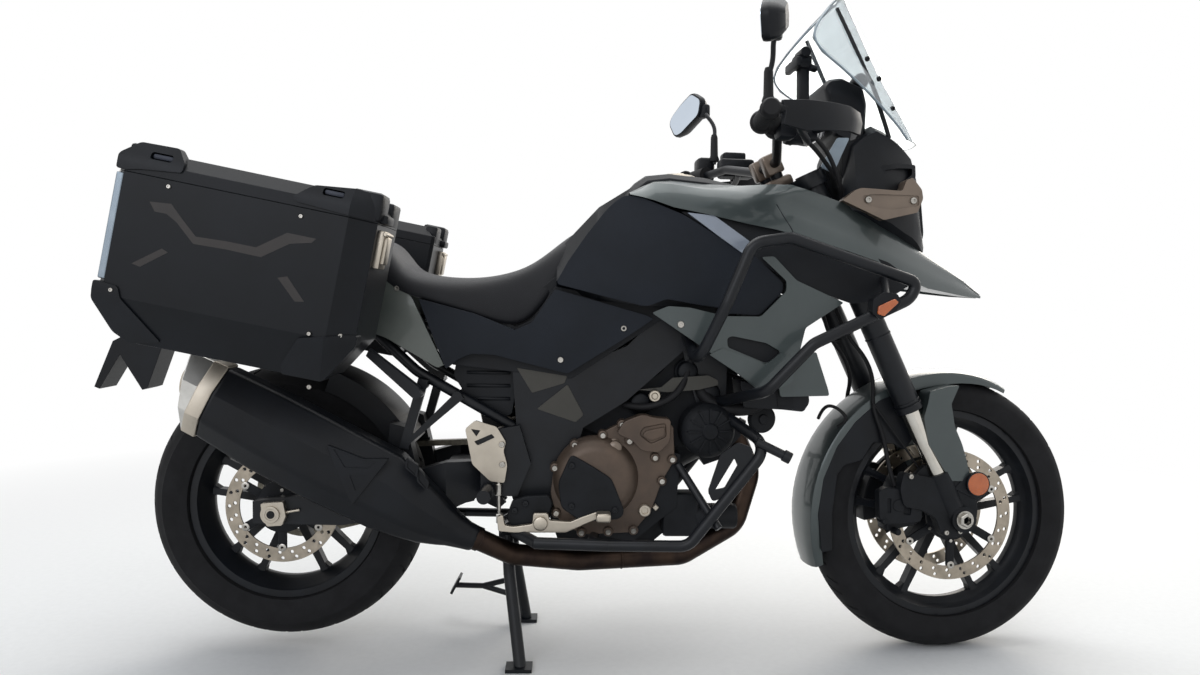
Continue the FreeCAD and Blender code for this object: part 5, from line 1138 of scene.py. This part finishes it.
make("clutch_cover", boss([(0, 190), (62, 190), (72, 188), (82, 182), (90, 172), (94, 164),
    (96, 160), (96, 144), (0, 144)], (-4, 0, 438), steps=72), "engine_bronze", sharp=25, bevel=1.5)
make("clutch_protector", slab(PROTECTOR, 186, 199, 12), "engine_black", bevel=4)
bolts("protector_bolts", [(-58, -199, 474), (38, -199, 376), (-58, -199, 384)], 7, "black_frame",
    both=False)
make("oil_filler_cap", boss([(0, 20), (8, 20), (12, 18), (15, 16), (16, 4), (19, 2), (19, 0),
    (0, 0)], (38, -160, 509), steps=32), "bronze_trim", sharp=30)
make("engine_plugs", joined(
    boss([(0, 6), (7, 6), (8, 10), (12, 10), (14, 7), (14, 0), (0, 0)], (107, -160, 366), steps=32),
    boss([(0, 10), (6, 10), (8, 8), (8, 0), (0, 0)], (132, -155, 372), steps=4),
    boss([(0, 8), (6, 8), (8, 5), (12, 5), (14, 2), (14, 0), (0, 0)], (129, -136, 622), steps=32)),
    "satin_plate", sharp=30)
place = facing(at(231, 0, 546), (0.12, -1, 0))
make("cam_drive_cover", joined(
    turned([(0, 176), (16, 178), (20, 174), (48, 172), (56, 166), (62, 156), (62, 120), (0, 120)],
        place, 56),
    *[block((20, 168, -2), (52, 177, 2), 0.8,
        place @ Matrix.Rotation(math.tau * count / 12, 4, "Y"))
      for count in range(12)]),
    "engine_black", sharp=30)
ALTERNATOR = (60, 0, 430)
AROUND_ALTERNATOR = [(60 + 88 * math.cos(math.tau * count / 9),
                      430 + 88 * math.sin(math.tau * count / 9)) for count in range(9)]
left_covers = joined(
    boss([(0, 182), (34, 182), (38, 178), (66, 176), (78, 168), (84, 158), (84, 138), (0, 138)],
         ALTERNATOR, LEFT, 72),
    boss([(0, 186), (20, 186), (24, 180), (24, 170), (0, 170)], ALTERNATOR, LEFT, 32),
    *[boss([(0, 0), (10, 0), (10, 22), (8, 24), (0, 24)], (x, 138, z), LEFT, 20)
      for x, z in AROUND_ALTERNATOR])
make("alternator_cover", left_covers, "engine_bronze", sharp=25, bevel=1)
SPROCKET_COVER = [(-10, 388), (-4, 500), (-70, 516), (-130, 492), (-138, 408), (-92, 378)]
make("sprocket_cover", slab(SPROCKET_COVER, -137, -112, 10), "engine_bronze", bevel=4)
LEFT_COVER_BOLTS = [(-20, 137, 402), (-20, 137, 492), (-84, 137, 500), (-126, 137, 470),
                    (-124, 137, 414)]
bolts("left_cover_bolts", [(x, 162, z) for x, z in AROUND_ALTERNATOR] + LEFT_COVER_BOLTS, 6,
    direction=LEFT, both=False)
hose("water_hoses", [(396, -130, 640), (372, -140, 600), (318, -142, 590), (262, -130, 600),
    (230, -104, 640), (226, -92, 690)], 15)
hose("engine_hoses", [(60, -112, 600), (96, -138, 592), (150, -142, 606), (196, -132, 640),
    (214, -112, 700)], 8)
make("horn", boss([(0, 22), (10, 22), (12, 18), (28, 16), (33, 12), (33, 4), (26, 0), (0, 0)],
    (378, -104, 568), (0.2, -1, 0), 40), "engine_black", sharp=30)
GUSSET = [(262, 508), (300, 535), (331, 524), (333, 500), (270, 414), (246, 406), (236, 428)]
LEAF = [(252, 432), (292, 500), (300, 486), (272, 436)]
make("guard_gussets", carve(slab(GUSSET, 246, 251, 6), slab(LEAF, 230, 260, 3)), "black_frame",
    both=True, bevel=1)
make("guard_stubs", joined(
    rod((340, -246, 536), (404, -262, 506), 10),
    rod((396, -260, 510), (412, -264, 502), 13)),
    "black_frame", both=True)
FACET = [(-138, 591), (-69, 647), (-32, 578), (-50, 561)]
facets = joined(slab(FACET, 132, 138.5, 4),
                slab([(-184, 684), (-70, 666), (-76, 650), (-149, 627)], 132, 138.5, 3))
make("frame_facets", facets, "frame_olive", both=True, bevel=2)
BAY = [(-46, 545), (-20, 572), (57, 618), (144, 672), (190, 730), (240, 716), (282, 657),
       (306, 612), (300, 560), (258, 500), (150, 500), (20, 520)]
make("intake_and_heads", joined(
    slab(BAY, -98, 98, 8),
    *[boss([(0, 96), (26, 96), (30, 100), (30, 108), (24, 112), (22, 122), (12, 126), (0, 126)],
        (x, 0, z), steps=32)
      for x, z in ((98, 604), (206, 676), (258, 626))]),
    "engine_black", bevel=3)
make("engine_brackets", slab([(89, 635), (144, 641), (170, 663), (252, 669), (274, 658), (275, 647),
    (231, 636), (160, 630)], 124, 131, 3), "frame_olive", both=True, bevel=1.5)
make("cooler_housings", slab([(318, 662), (392, 640), (473, 640), (476, 612), (463, 591),
    (414, 596), (326, 600)], 60, 168, 6), both=True, bevel=4)
make("oil_filter", joined(
    boss([(0, 0), (28, 0), (29, 3), (29, 90), (26, 96), (10, 98), (0, 98)], (226, -118, 343),
        (1, 0, 0), 40),
    block((150, -146, 300), (232, -90, 400), 8)),
    "engine_black", bevel=1)
make("guard_tail", joined(
    rod((24, -238.5, 306.3), (-140, -224, 308), 12.9, 24),
    rod((-134, -225, 308), (-184, -180, 322), 12.9, 24)),
    "black_frame")
make("guard_struts", rod((181, -164, 470), (262, -246, 345), 9, 20), "black_frame", both=True)
make("header_joints", joined(
    boss([(24, 0), (26, 1), (26, 4), (24, 5), (20, 5), (20, 0)], (60, -110, 243),
        (-1, -0.09, -0.02), 40),
    boss([(24, 0), (27, 1), (27, 22), (24, 23), (20, 23), (20, 0)], (-262, -168, 300),
        (-0.8, -0.2, 0.4), 40)),
    "exhaust_steel")


# Panniers, drawn along each box: x along its joint, z square to it, and 0 at its front corner

BOX_LONG = 475
BOX_OUTER = 480
SIDES = (("right", Matrix.Identity(4)), ("left", SIDE_FLIP))
SHEET = 2.5


def box_ring(height, back, front, outer, inner=250, wall=0.0):
    """Level section of a box, with a wide slanting corner at its outer front."""
    return [at(x, -y, height) for x, y in (
        (back + wall, inner + 8), (back + 8, inner + wall), (front - 8, inner + wall),
        (front - wall, inner + 8), (front - wall, outer - 38 - wall / 2),
        (front - 46 - wall / 2, outer - wall), (back + 14, outer - wall),
        (back + wall, outer - 14))]


def box_body():
    """Open box of sheet, with a foot that tapers in at the front, rear and outside."""
    levels = ((-312 + SHEET, 66, 50, 30), (-230, 0, 0, 0), (0, 0, 0, 0))
    rings = [box_ring(z, back - BOX_LONG, -front, BOX_OUTER - tuck, wall=SHEET)
             for z, back, front, tuck in levels]
    levels = ((0, 0, 0, 0), (-230, 0, 0, 0), (-312, 66, 50, 30))
    rings += [box_ring(z, back - BOX_LONG, -front, BOX_OUTER - tuck)
              for z, back, front, tuck in levels]
    return skin_over(rings)


def lid_shell():
    """Hollow lid with a slanting border round its top."""
    inset = 24
    rings = [box_ring(43.5, inset - BOX_LONG, -inset, BOX_OUTER - inset, 250 + inset, SHEET),
             box_ring(22, -BOX_LONG, 0, BOX_OUTER, wall=SHEET),
             box_ring(0.6, -BOX_LONG, 0, BOX_OUTER, wall=SHEET),
             box_ring(0.6, -BOX_LONG, 0, BOX_OUTER), box_ring(22, -BOX_LONG, 0, BOX_OUTER),
             box_ring(46, inset - BOX_LONG, -inset, BOX_OUTER - inset, 250 + inset)]
    return skin_over(rings)


def cap_reach(x, z):
    """The lid's corner guards lean in with its border and round the slanting corner."""
    return 484 - 0.5 * max(z - 26, 0) - 0.83 * max(x + 46, 0)


def box_guard_reach(x, z):
    """The box's lower guards follow its tapered foot and its slanting corner."""
    return 484.2 - 0.37 * max(-230 - z, 0) - 0.83 * max(x + 46, 0)


CAP_REAR = [(-475, 3), (-475, 32), (-446, 59), (-376, 61), (-356, 34), (-357, 17), (-430, 9),
            (-458, 3)]
CAP_FRONT = [(-153, 16), (-120, 46), (-64, 53), (-40, 56), (-14, 52), (-3, 30), (-3, 3), (-40, 3),
             (-146, 9)]
STRIPES = (
    [(-406, -46), (-367, -42), (-345, -63), (-313, -92), (-256, -89), (-202, -89), (-151, -51),
     (-97, -51), (-104, -60), (-143, -70), (-190, -105), (-253, -104), (-315, -106), (-352, -73),
     (-372, -62), (-394, -62)],
    [(-418, -164), (-369, -126), (-357, -131), (-402, -167)],
    [(-153, -136), (-136, -130), (-97, -170), (-114, -173)])
GUARD_REAR = [(-479, -206), (-434, -210), (-425, -232), (-350, -300), (-408, -314), (-440, -297),
              (-479, -242)]
GUARD_FRONT = [(-95, -238), (-8, -216), (3, -216), (3, -236), (-44, -314), (-122, -314),
               (-124, -296)]
for name, flip in SIDES:
    place = PANNIER @ flip
    make(f"pannier_box_{name}", box_body(), "pannier_black", place=place, bevel=3,
        stands_for=[f"pannier_{name}"], sharp=20)
    make(f"lid_shell_{name}", lid_shell(), "pannier_black", f"lid_{name}", place, bevel=3,
        stands_for=[f"lid_{name}"], sharp=20)
    slots = joined(*[block((x - 20, -500, 31), (x + 20, -440, 45), 4) for x in (-400, -82)])
    make(f"lid_corners_{name}", joined(
        carve(joined(panel(CAP_REAR, cap_reach, 446, corner=5, step=13),
            panel(CAP_FRONT, cap_reach, 446, corner=5, step=13)), slots),
        block((-474, -450, 6), (-444, -392, 56), 6),
        block((-60, -452, 3), (5, -388, 58), 9),
        block((-474, -330, 6), (-448, -262, 52), 6),
        block((-30, -330, 3), (2, -262, 50), 6)),
        body=f"lid_{name}", place=place, bevel=1.5)
    make(f"lid_straps_{name}", joined(
        *[block((x - 19, -473, 33), (x + 19, -455, 43), 4) for x in (-400, -82)]),
        "strap_grey", f"lid_{name}", place)
    make(f"pannier_hook_{name}", joined(
        block((-487, -352, -44), (-473, -322, -12), 3),
        block((-502, -344, -38), (-484, -330, -30), 2),
        block((-505, -346, -41), (-499, -328, -20), 2)),
        place=place)
    prints = joined(*[slab(each, BOX_OUTER - 1, BOX_OUTER + 0.35) for each in STRIPES])
    make(f"pannier_stripes_{name}", prints, "stripe_print", place=place)
    guards = joined(panel(GUARD_REAR, box_guard_reach, 428, corner=5, step=15),
                    panel(GUARD_FRONT, box_guard_reach, 408, corner=5, step=15))
    make(f"pannier_guards_{name}", guards, place=place, bevel=2.5)
    rivets = [(-377, -480.5, -12), (-132, -480.5, -16), (-444, -483.5, -219), (-76, -483.5, -226),
              (-24, -462, -220)]
    bolts(f"pannier_rivets_{name}", rivets, 4, place=place, both=False)
    strip = slab([(-475, -202), (-475, -3), (-461, -3), (-461, -202)], 464, 480.4)
    make(f"pannier_edge_{name}", strip, "edge_strip", place=place, bevel=3)
    make(f"pannier_latch_{name}", joined(
        block((-1, -424, -84), (13, -366, -10), 3),
        block((8, -414, -74), (19, -376, -20), 3),
        rod((14, -428, -16), (14, -362, -16), 4)),
        "satin_plate", place=place)
    make(f"lid_catch_{name}", block((-16, -426, 2), (14, -364, 20), 4), body=f"lid_{name}",
        place=place)
    make(f"pannier_hinge_{name}", joined(
        rod((-481, -408, 0), (-481, -329, 0), 5),
        rod((-481, -448, 0), (-481, -289, 0), 2.5),
        block((-484, -408, -16), (-475, -329, -2), 1)),
        "plated_bolt", place=place)
    make(f"lid_hinge_{name}", joined(
        *[rod((-481, low, 0), (-481, high, 0), 5) for low, high in ((-448, -409), (-328, -289))],
        *[block((-484, low, 2), (-474, high, 16), 1)
          for low, high in ((-448, -409), (-328, -289))]),
        "plated_bolt", f"lid_{name}", place)


# Silencer, drawn along its own axis: x from front to rear, y outwards, z up

SILENCER_FRONT = at(-330, -196, 352)
SILENCER_AXIS = (at(-846, -206, 612) - SILENCER_FRONT).normalized()
SILENCER_UP = Vector((SILENCER_AXIS.z, 0, -SILENCER_AXIS.x)).normalized()
SILENCER = Matrix.Translation(SILENCER_FRONT) @ Matrix((
    SILENCER_AXIS, SILENCER_UP.cross(SILENCER_AXIS), SILENCER_UP)).transposed().to_4x4()


def can_ring(along, up, out, drop=0.0, inward=0.0):
    """Eight-cornered section, flatter on its upper outer side."""
    return [at(along, y * out - inward, z * up - drop) for y, z in (
        (-0.5, -1), (0.45, -1), (1, -0.42), (1, 0.3), (0.5, 1), (-0.5, 1), (-1, 0.5), (-1, -0.5))]


can = [can_ring(*each) for each in (
    (-78, 28, 28, 17, 22), (-50, 31, 32, 19, 19), (-20, 38, 38, 17, 12), (0, 46, 41, 15, 6),
    (40, 60, 47, 13, 2), (80, 70, 53, 9), (150, 88, 58), (300, 91, 60), (430, 90, 61, -4),
    (564, 82, 59, -10))]
make("silencer_can", skin_over(can), "silencer_black", place=SILENCER, bevel=12,
    stands_for=["silencer"], sharp=20)
end = moved(skin_over([can_ring(*each) for each in (
    (578, 82, 58.5, -10), (720, 74, 52, -12))]), SILENCER)
TAIL_FACE = at(-880, -206, 640)
TAIL_NORMAL = Vector((-0.989, 0, 0.15))
cut = bmesh.ops.bisect_plane(end, geom=end.verts[:] + end.edges[:] + end.faces[:],
                             plane_co=TAIL_FACE, plane_no=TAIL_NORMAL, clear_outer=True)
rim = [each for each in cut["geom_cut"] if isinstance(each, bmesh.types.BMEdge)]
tail_face = bmesh.ops.contextual_create(end, geom=rim)["faces"]
bmesh.ops.recalc_face_normals(end, faces=end.faces)
bmesh.ops.inset_region(end, faces=tail_face, thickness=0.008, depth=0.0, use_even_offset=True)
bmesh.ops.inset_region(end, faces=tail_face, thickness=0.004, depth=-0.008, use_even_offset=True)
make("silencer_cap", end, "aluminium", bevel=2.5, stands_for=["silencer_end_cap"], sharp=20)
make("silencer_outlet", turned([(25, 16), (33, 16), (35, 13), (35, -4), (25, -4)],
    facing(TAIL_FACE + SILENCER_UP * 0.012, TAIL_NORMAL), 40), "satin_plate")
# Dark disc inside the outlet ring: painted shade inside the pipe
make("silencer_outlet_shade", turned([(0, 4), (25.4, 4), (25.4, -4), (0, -4)],
    facing(TAIL_FACE + SILENCER_UP * 0.012, TAIL_NORMAL), 40), "rubber")
shield_ribs = joined(
    slab([(-576, 528), (-499, 498), (-446, 499), (-523, 400), (-547, 454)], 250, 263.5, 4),
    slab([(-410, 500), (-384, 484), (-386, 458), (-412, 478)], 246, 259.5, 4),
    slab([(-388, 480), (-362, 448), (-366, 428), (-388, 448)], 242, 254.5, 4))
shield_cuts = joined(
    slab([(-528, 464), (-494, 464), (-516, 430)], 261.5, 270, 2),
    slab([(-562, 520), (-500, 495), (-470, 492), (-490, 478), (-538, 480)], 261.5, 270, 3),
    slab([(-406, 495), (-389, 480), (-391, 463), (-408, 480)], 256.5, 270, 2),
    slab([(-384, 476), (-367, 446), (-369, 433), (-384, 451)], 251.5, 270, 2))
make("silencer_shield", carve(shield_ribs, shield_cuts), bevel=1)
beige = skin_over([can_ring(*each) for each in (
    (561, 82.5, 59.4, -10), (564, 84.5, 60.6, -10), (591, 83.5, 60, -10), (594, 82, 59, -10))])
make("silencer_beige_band", beige, "satin_plate", place=SILENCER, bevel=1.5)
bolts("silencer_bolts", [(-612, -261, 650)], 5, both=False)


# Footrest plates and pedal linkage

HEEL = [(-296, 549), (-274, 568), (-226, 554), (-205, 519), (-211, 500), (-202, 468), (-208, 428),
        (-240, 432), (-280, 470)]
heel_cuts = joined(slab([(-283, 549), (-262, 546), (-271, 532)], 150, 180, 1),
                   slab([(-276, 521), (-237, 538), (-230, 530), (-268, 512)], 150, 180, 2))
make("heel_plates", carve(slab(HEEL, 163, 168, 5), heel_cuts), "satin_plate", both=True, bevel=1)
bolts("heel_bolts", [(-214, -168, 515), (-213, -168, 470)], 7)
PEDAL_PLATE = [(-190, 391), (-161, 401), (-109, 404), (-100, 386), (-108, 361), (-129, 361),
               (-140, 348), (-150, 321), (-171, 311), (-187, 327), (-203, 353)]
make("pedal_plates", slab(PEDAL_PLATE, 168, 184, 5), "engine_black", bevel=3)
bolts("pedal_plate_bolts", [(-160, -184, 386), (-184, -184, 370), (-172, -184, 330)], 7,
    "black_frame", both=False)
PEDAL = [(-222, 360), (-209, 365), (-204, 341), (-186, 338), (-144, 344), (-142, 368), (-110, 368),
         (-106, 352), (-61, 349), (-35, 360), (2, 373), (26, 370), (26, 357), (2, 357), (-34, 341),
         (-71, 325), (-123, 325), (-186, 325), (-219, 328)]
make("foot_pedals", joined(
    slab(PEDAL, 190, 204, 4),
    block((-4, -236, 355), (28, -200, 374), 4),
    boss([(0, 0), (15, 0), (16, 2), (16, 10), (12, 12), (0, 12)], (-126, -200, 346), steps=32)),
    "satin_plate", both=True, bevel=3, stands_for=["foot_levers"])
make("brake_pushrod", joined(
    rod((-221, -168, 429), (-219, -168, 356), 4),
    rod((-221, -168, 426), (-221, -168, 400), 8),
    block((-226, -174, 338), (-212, -160, 360), 2)),
    "plated_bolt")

SHOCK_LOW, SHOCK_HIGH = Vector((-232, 0, 354)), Vector((-188, 0, 642))
SHOCK_WAY = (SHOCK_HIGH - SHOCK_LOW).normalized()
make("shock_body", turned([(0, 0), (12, 0), (12, 60), (22, 64), (22, 70), (30, 72), (31, 76),
    (31, 84), (22, 88), (20, 236), (30, 240), (31, 252), (24, 258), (14, 262), (12, 290), (0, 291)],
    facing(at(*SHOCK_LOW), SHOCK_WAY), 32), "engine_black", stands_for=["rear_shock"], bevel=1)
coil = []
for count in range(97):
    turn = math.tau * count / 16
    spot = SHOCK_LOW + SHOCK_WAY * (86 + 1.56 * count)
    coil.append((spot.x + 27 * math.cos(turn), 27 * math.sin(turn), spot.z))
hose("shock_spring", coil, 4.5, "satin_plate")


# Turn signals

front_lamp = [(560, 818), (562, 846), (584, 862), (612, 858), (622, 842), (610, 822), (578, 804)]
rear_lamp = [(-988, 792), (-984, 812), (-944, 818), (-936, 804), (-944, 786)]
make("signal_housings", joined(
    slab(front_lamp, 292, 326, 4),
    slab(rear_lamp, 112, 160, 5),
    rod((656, -110, 926), (598, -300, 848), 8),
    rod((-960, -34, 790), (-960, -122, 800), 8)),
    both=True, bevel=3, stands_for=["turn_signals"])
front_lens = [(570, 816), (572, 832), (606, 848), (614, 840), (584, 811)]
rear_lens = [(-990, 794), (-985, 810), (-966, 813), (-966, 791)]
lenses = joined(slab(front_lens, 300, 331, 3), slab(rear_lens, 110, 166, 3))
make("signal_lenses", lenses, "amber_lens", both=True, bevel=2.5)


# Rear carrier

CARRIER = Matrix.Translation(at(-851, 0, 944)) @ Matrix.Rotation(math.radians(90), 4, "X")
plate = slab([(-88, -84), (-70, -108), (88, -108), (89, 108), (-70, 108), (-88, 84)], -5, 4, 6)
make("carrier_plate", joined(
    carve(plate, joined(*[slab([(-58, z - 6), (58, z - 6), (58, z + 6), (-58, z + 6)], -10, 10, 5)
                          for z in (-72, -36, 36, 72)])),
    *[boss([(0, 0), (9, 0), (9, 8), (7, 10), (0, 10)], (x, 0, z), LEFT)
      for x in (-60, 60) for z in (-92, 92)]),
    place=CARRIER, bevel=1.5, stands_for=["rear_carrier"])


# Battery cases, and cores that close the seams of the bodywork

BATTERY_CASE = [(-322, 704), (-190, 704), (-186, 640), (-196, 574), (-240, 560), (-290, 600),
                (-330, 662)]
make("battery_cases", joined(
    slab(BATTERY_CASE, 44, 104, 6),
    *[block((-300, -107, z - 4), (-200, -100, z + 4), 1.5) for z in (610, 640, 670)]),
    both=True, bevel=3)

CORE = [(-330, 806), (-250, 812), (-186, 776), (-150, 792), (-98, 868), (10, 850), (130, 842),
        (330, 846), (300, 780), (150, 800), (60, 740), (-60, 660), (-330, 690)]
CORE_UNDER_SEAT = [(-206, 764), (-176, 826), (-96, 892), (-60, 850), (-120, 764)]
make("inner_side_cores", joined(
    slab(CORE, 126, 138, 4),
    slab(CORE_UNDER_SEAT, 84, 124, 4)),
    both=True, bevel=2)


# Camera, light and floor

camera_data = bpy.data.cameras.new("camera")
camera_data.sensor_width = 36
camera_data.lens = 26.942
camera = bpy.data.objects.new("camera", camera_data)
scene.collection.objects.link(camera)
CAMERA_SPOT = (-0.065, -2.16406, 0.84498)
YAW, PITCH, ROLL = 0.0337557, 0.0449055, 0.0098458
forward = Vector((math.sin(YAW) * math.cos(PITCH), math.cos(YAW) * math.cos(PITCH),
                  -math.sin(PITCH)))
level_right = forward.cross(Vector((0, 0, 1))).normalized()
level_up = level_right.cross(forward)
right = level_right * math.cos(ROLL) + level_up * math.sin(ROLL)
up = level_up * math.cos(ROLL) - level_right * math.sin(ROLL)
camera_turn = Matrix((right, up, -forward)).transposed().to_4x4()
camera.matrix_world = Matrix.Translation(CAMERA_SPOT) @ camera_turn
scene.camera = camera


def lamp(name, spot, aim, size, power, colour="#ffffff"):
    """Soft rectangular light that faces a spot."""
    data = bpy.data.lights.new(name, "AREA")
    data.shape = "RECTANGLE"
    data.size, data.size_y = size
    data.energy = power
    data.color = srgb(colour)[:3]
    holder = bpy.data.objects.new(name, data)
    scene.collection.objects.link(holder)
    holder.matrix_world = Matrix.Translation(spot) @ (Vector(aim) - Vector(spot)).to_track_quat(
        "-Z", "Y").to_matrix().to_4x4()


lamp("sky_panel", (0.0, 0.6, 3.6), (0, 0, 0.6), (4.5, 3.0), 95)
lamp("camera_side", (-1.6, -3.6, 2.4), (0, 0, 0.7), (3.0, 2.0), 46, "#f4f7ff")
lamp("rear_side", (2.4, 3.4, 2.2), (0, 0, 0.7), (2.6, 2.0), 70, "#fff8ee")


def seen_rays(tree):
    """1 for what the camera sees, also through glass and in mirrors, and 0 for fill light."""
    rays = add_node(tree, "ShaderNodeLightPath").outputs
    seen = rays["Is Camera Ray"]
    for kind in ("Is Glossy Ray", "Is Transmission Ray"):
        seen = add_node(tree, "ShaderNodeMath", {0: seen, 1: rays[kind]},
                        operation="MAXIMUM").outputs[0]
    return seen


world = bpy.data.worlds.new("studio")
scene.world = world
tree = fresh_tree(world)
fill = add_node(tree, "ShaderNodeBackground", {"Color": srgb("#e4e9f0"), "Strength": 0.54})
white = add_node(tree, "ShaderNodeBackground", {"Color": srgb("#ffffff"), "Strength": 1.0})
both_skies = add_node(tree, "ShaderNodeMixShader", {
    0: seen_rays(tree), 1: fill.outputs[0], 2: white.outputs[0]})
add_node(tree, "ShaderNodeOutputWorld", {"Surface": both_skies.outputs[0]})

floor_surface = bpy.data.materials.new("pale painted studio floor")
tree = fresh_tree(floor_surface)
place = add_node(tree, "ShaderNodeTexCoord").outputs["Object"]
speckle = add_node(tree, "ShaderNodeTexNoise", {"Vector": place, "Scale": 60.0}).outputs["Fac"]
tone = add_node(tree, "ShaderNodeMix", {0: speckle, 6: srgb("#f1f1ef"), 7: srgb("#e9e9e7")},
                data_type="RGBA").outputs[2]
paint = add_node(tree, "ShaderNodeBsdfPrincipled", {"Base Color": tone, "Roughness": 0.8})
away = add_node(tree, "ShaderNodeVectorMath", {0: place}, operation="LENGTH").outputs["Value"]
far = add_node(tree, "ShaderNodeMapRange", {
    "Value": away, "From Min": 1.5, "From Max": 3.6}).outputs["Result"]
share = add_node(tree, "ShaderNodeMath", {0: seen_rays(tree), 1: far},
                 operation="MULTIPLY").outputs[0]
glow = add_node(tree, "ShaderNodeEmission", {"Color": srgb("#ffffff"), "Strength": 1.0})
faded = add_node(tree, "ShaderNodeMixShader", {0: share, 1: paint.outputs[0], 2: glow.outputs[0]})
add_node(tree, "ShaderNodeOutputMaterial", {"Surface": faded.outputs[0]})
floor_bm = bmesh.new()
bmesh.ops.create_grid(floor_bm, x_segments=2, y_segments=2, size=30)
bmesh.ops.translate(floor_bm, verts=floor_bm.verts, vec=(0, 0, cad_low.z - 0.0005))
floor_mesh = bpy.data.meshes.new("studio_floor")
floor_bm.to_mesh(floor_mesh)
floor_bm.free()
floor_mesh.materials.append(floor_surface)
floor = bpy.data.objects.new("studio_floor", floor_mesh)
scene.collection.objects.link(floor)
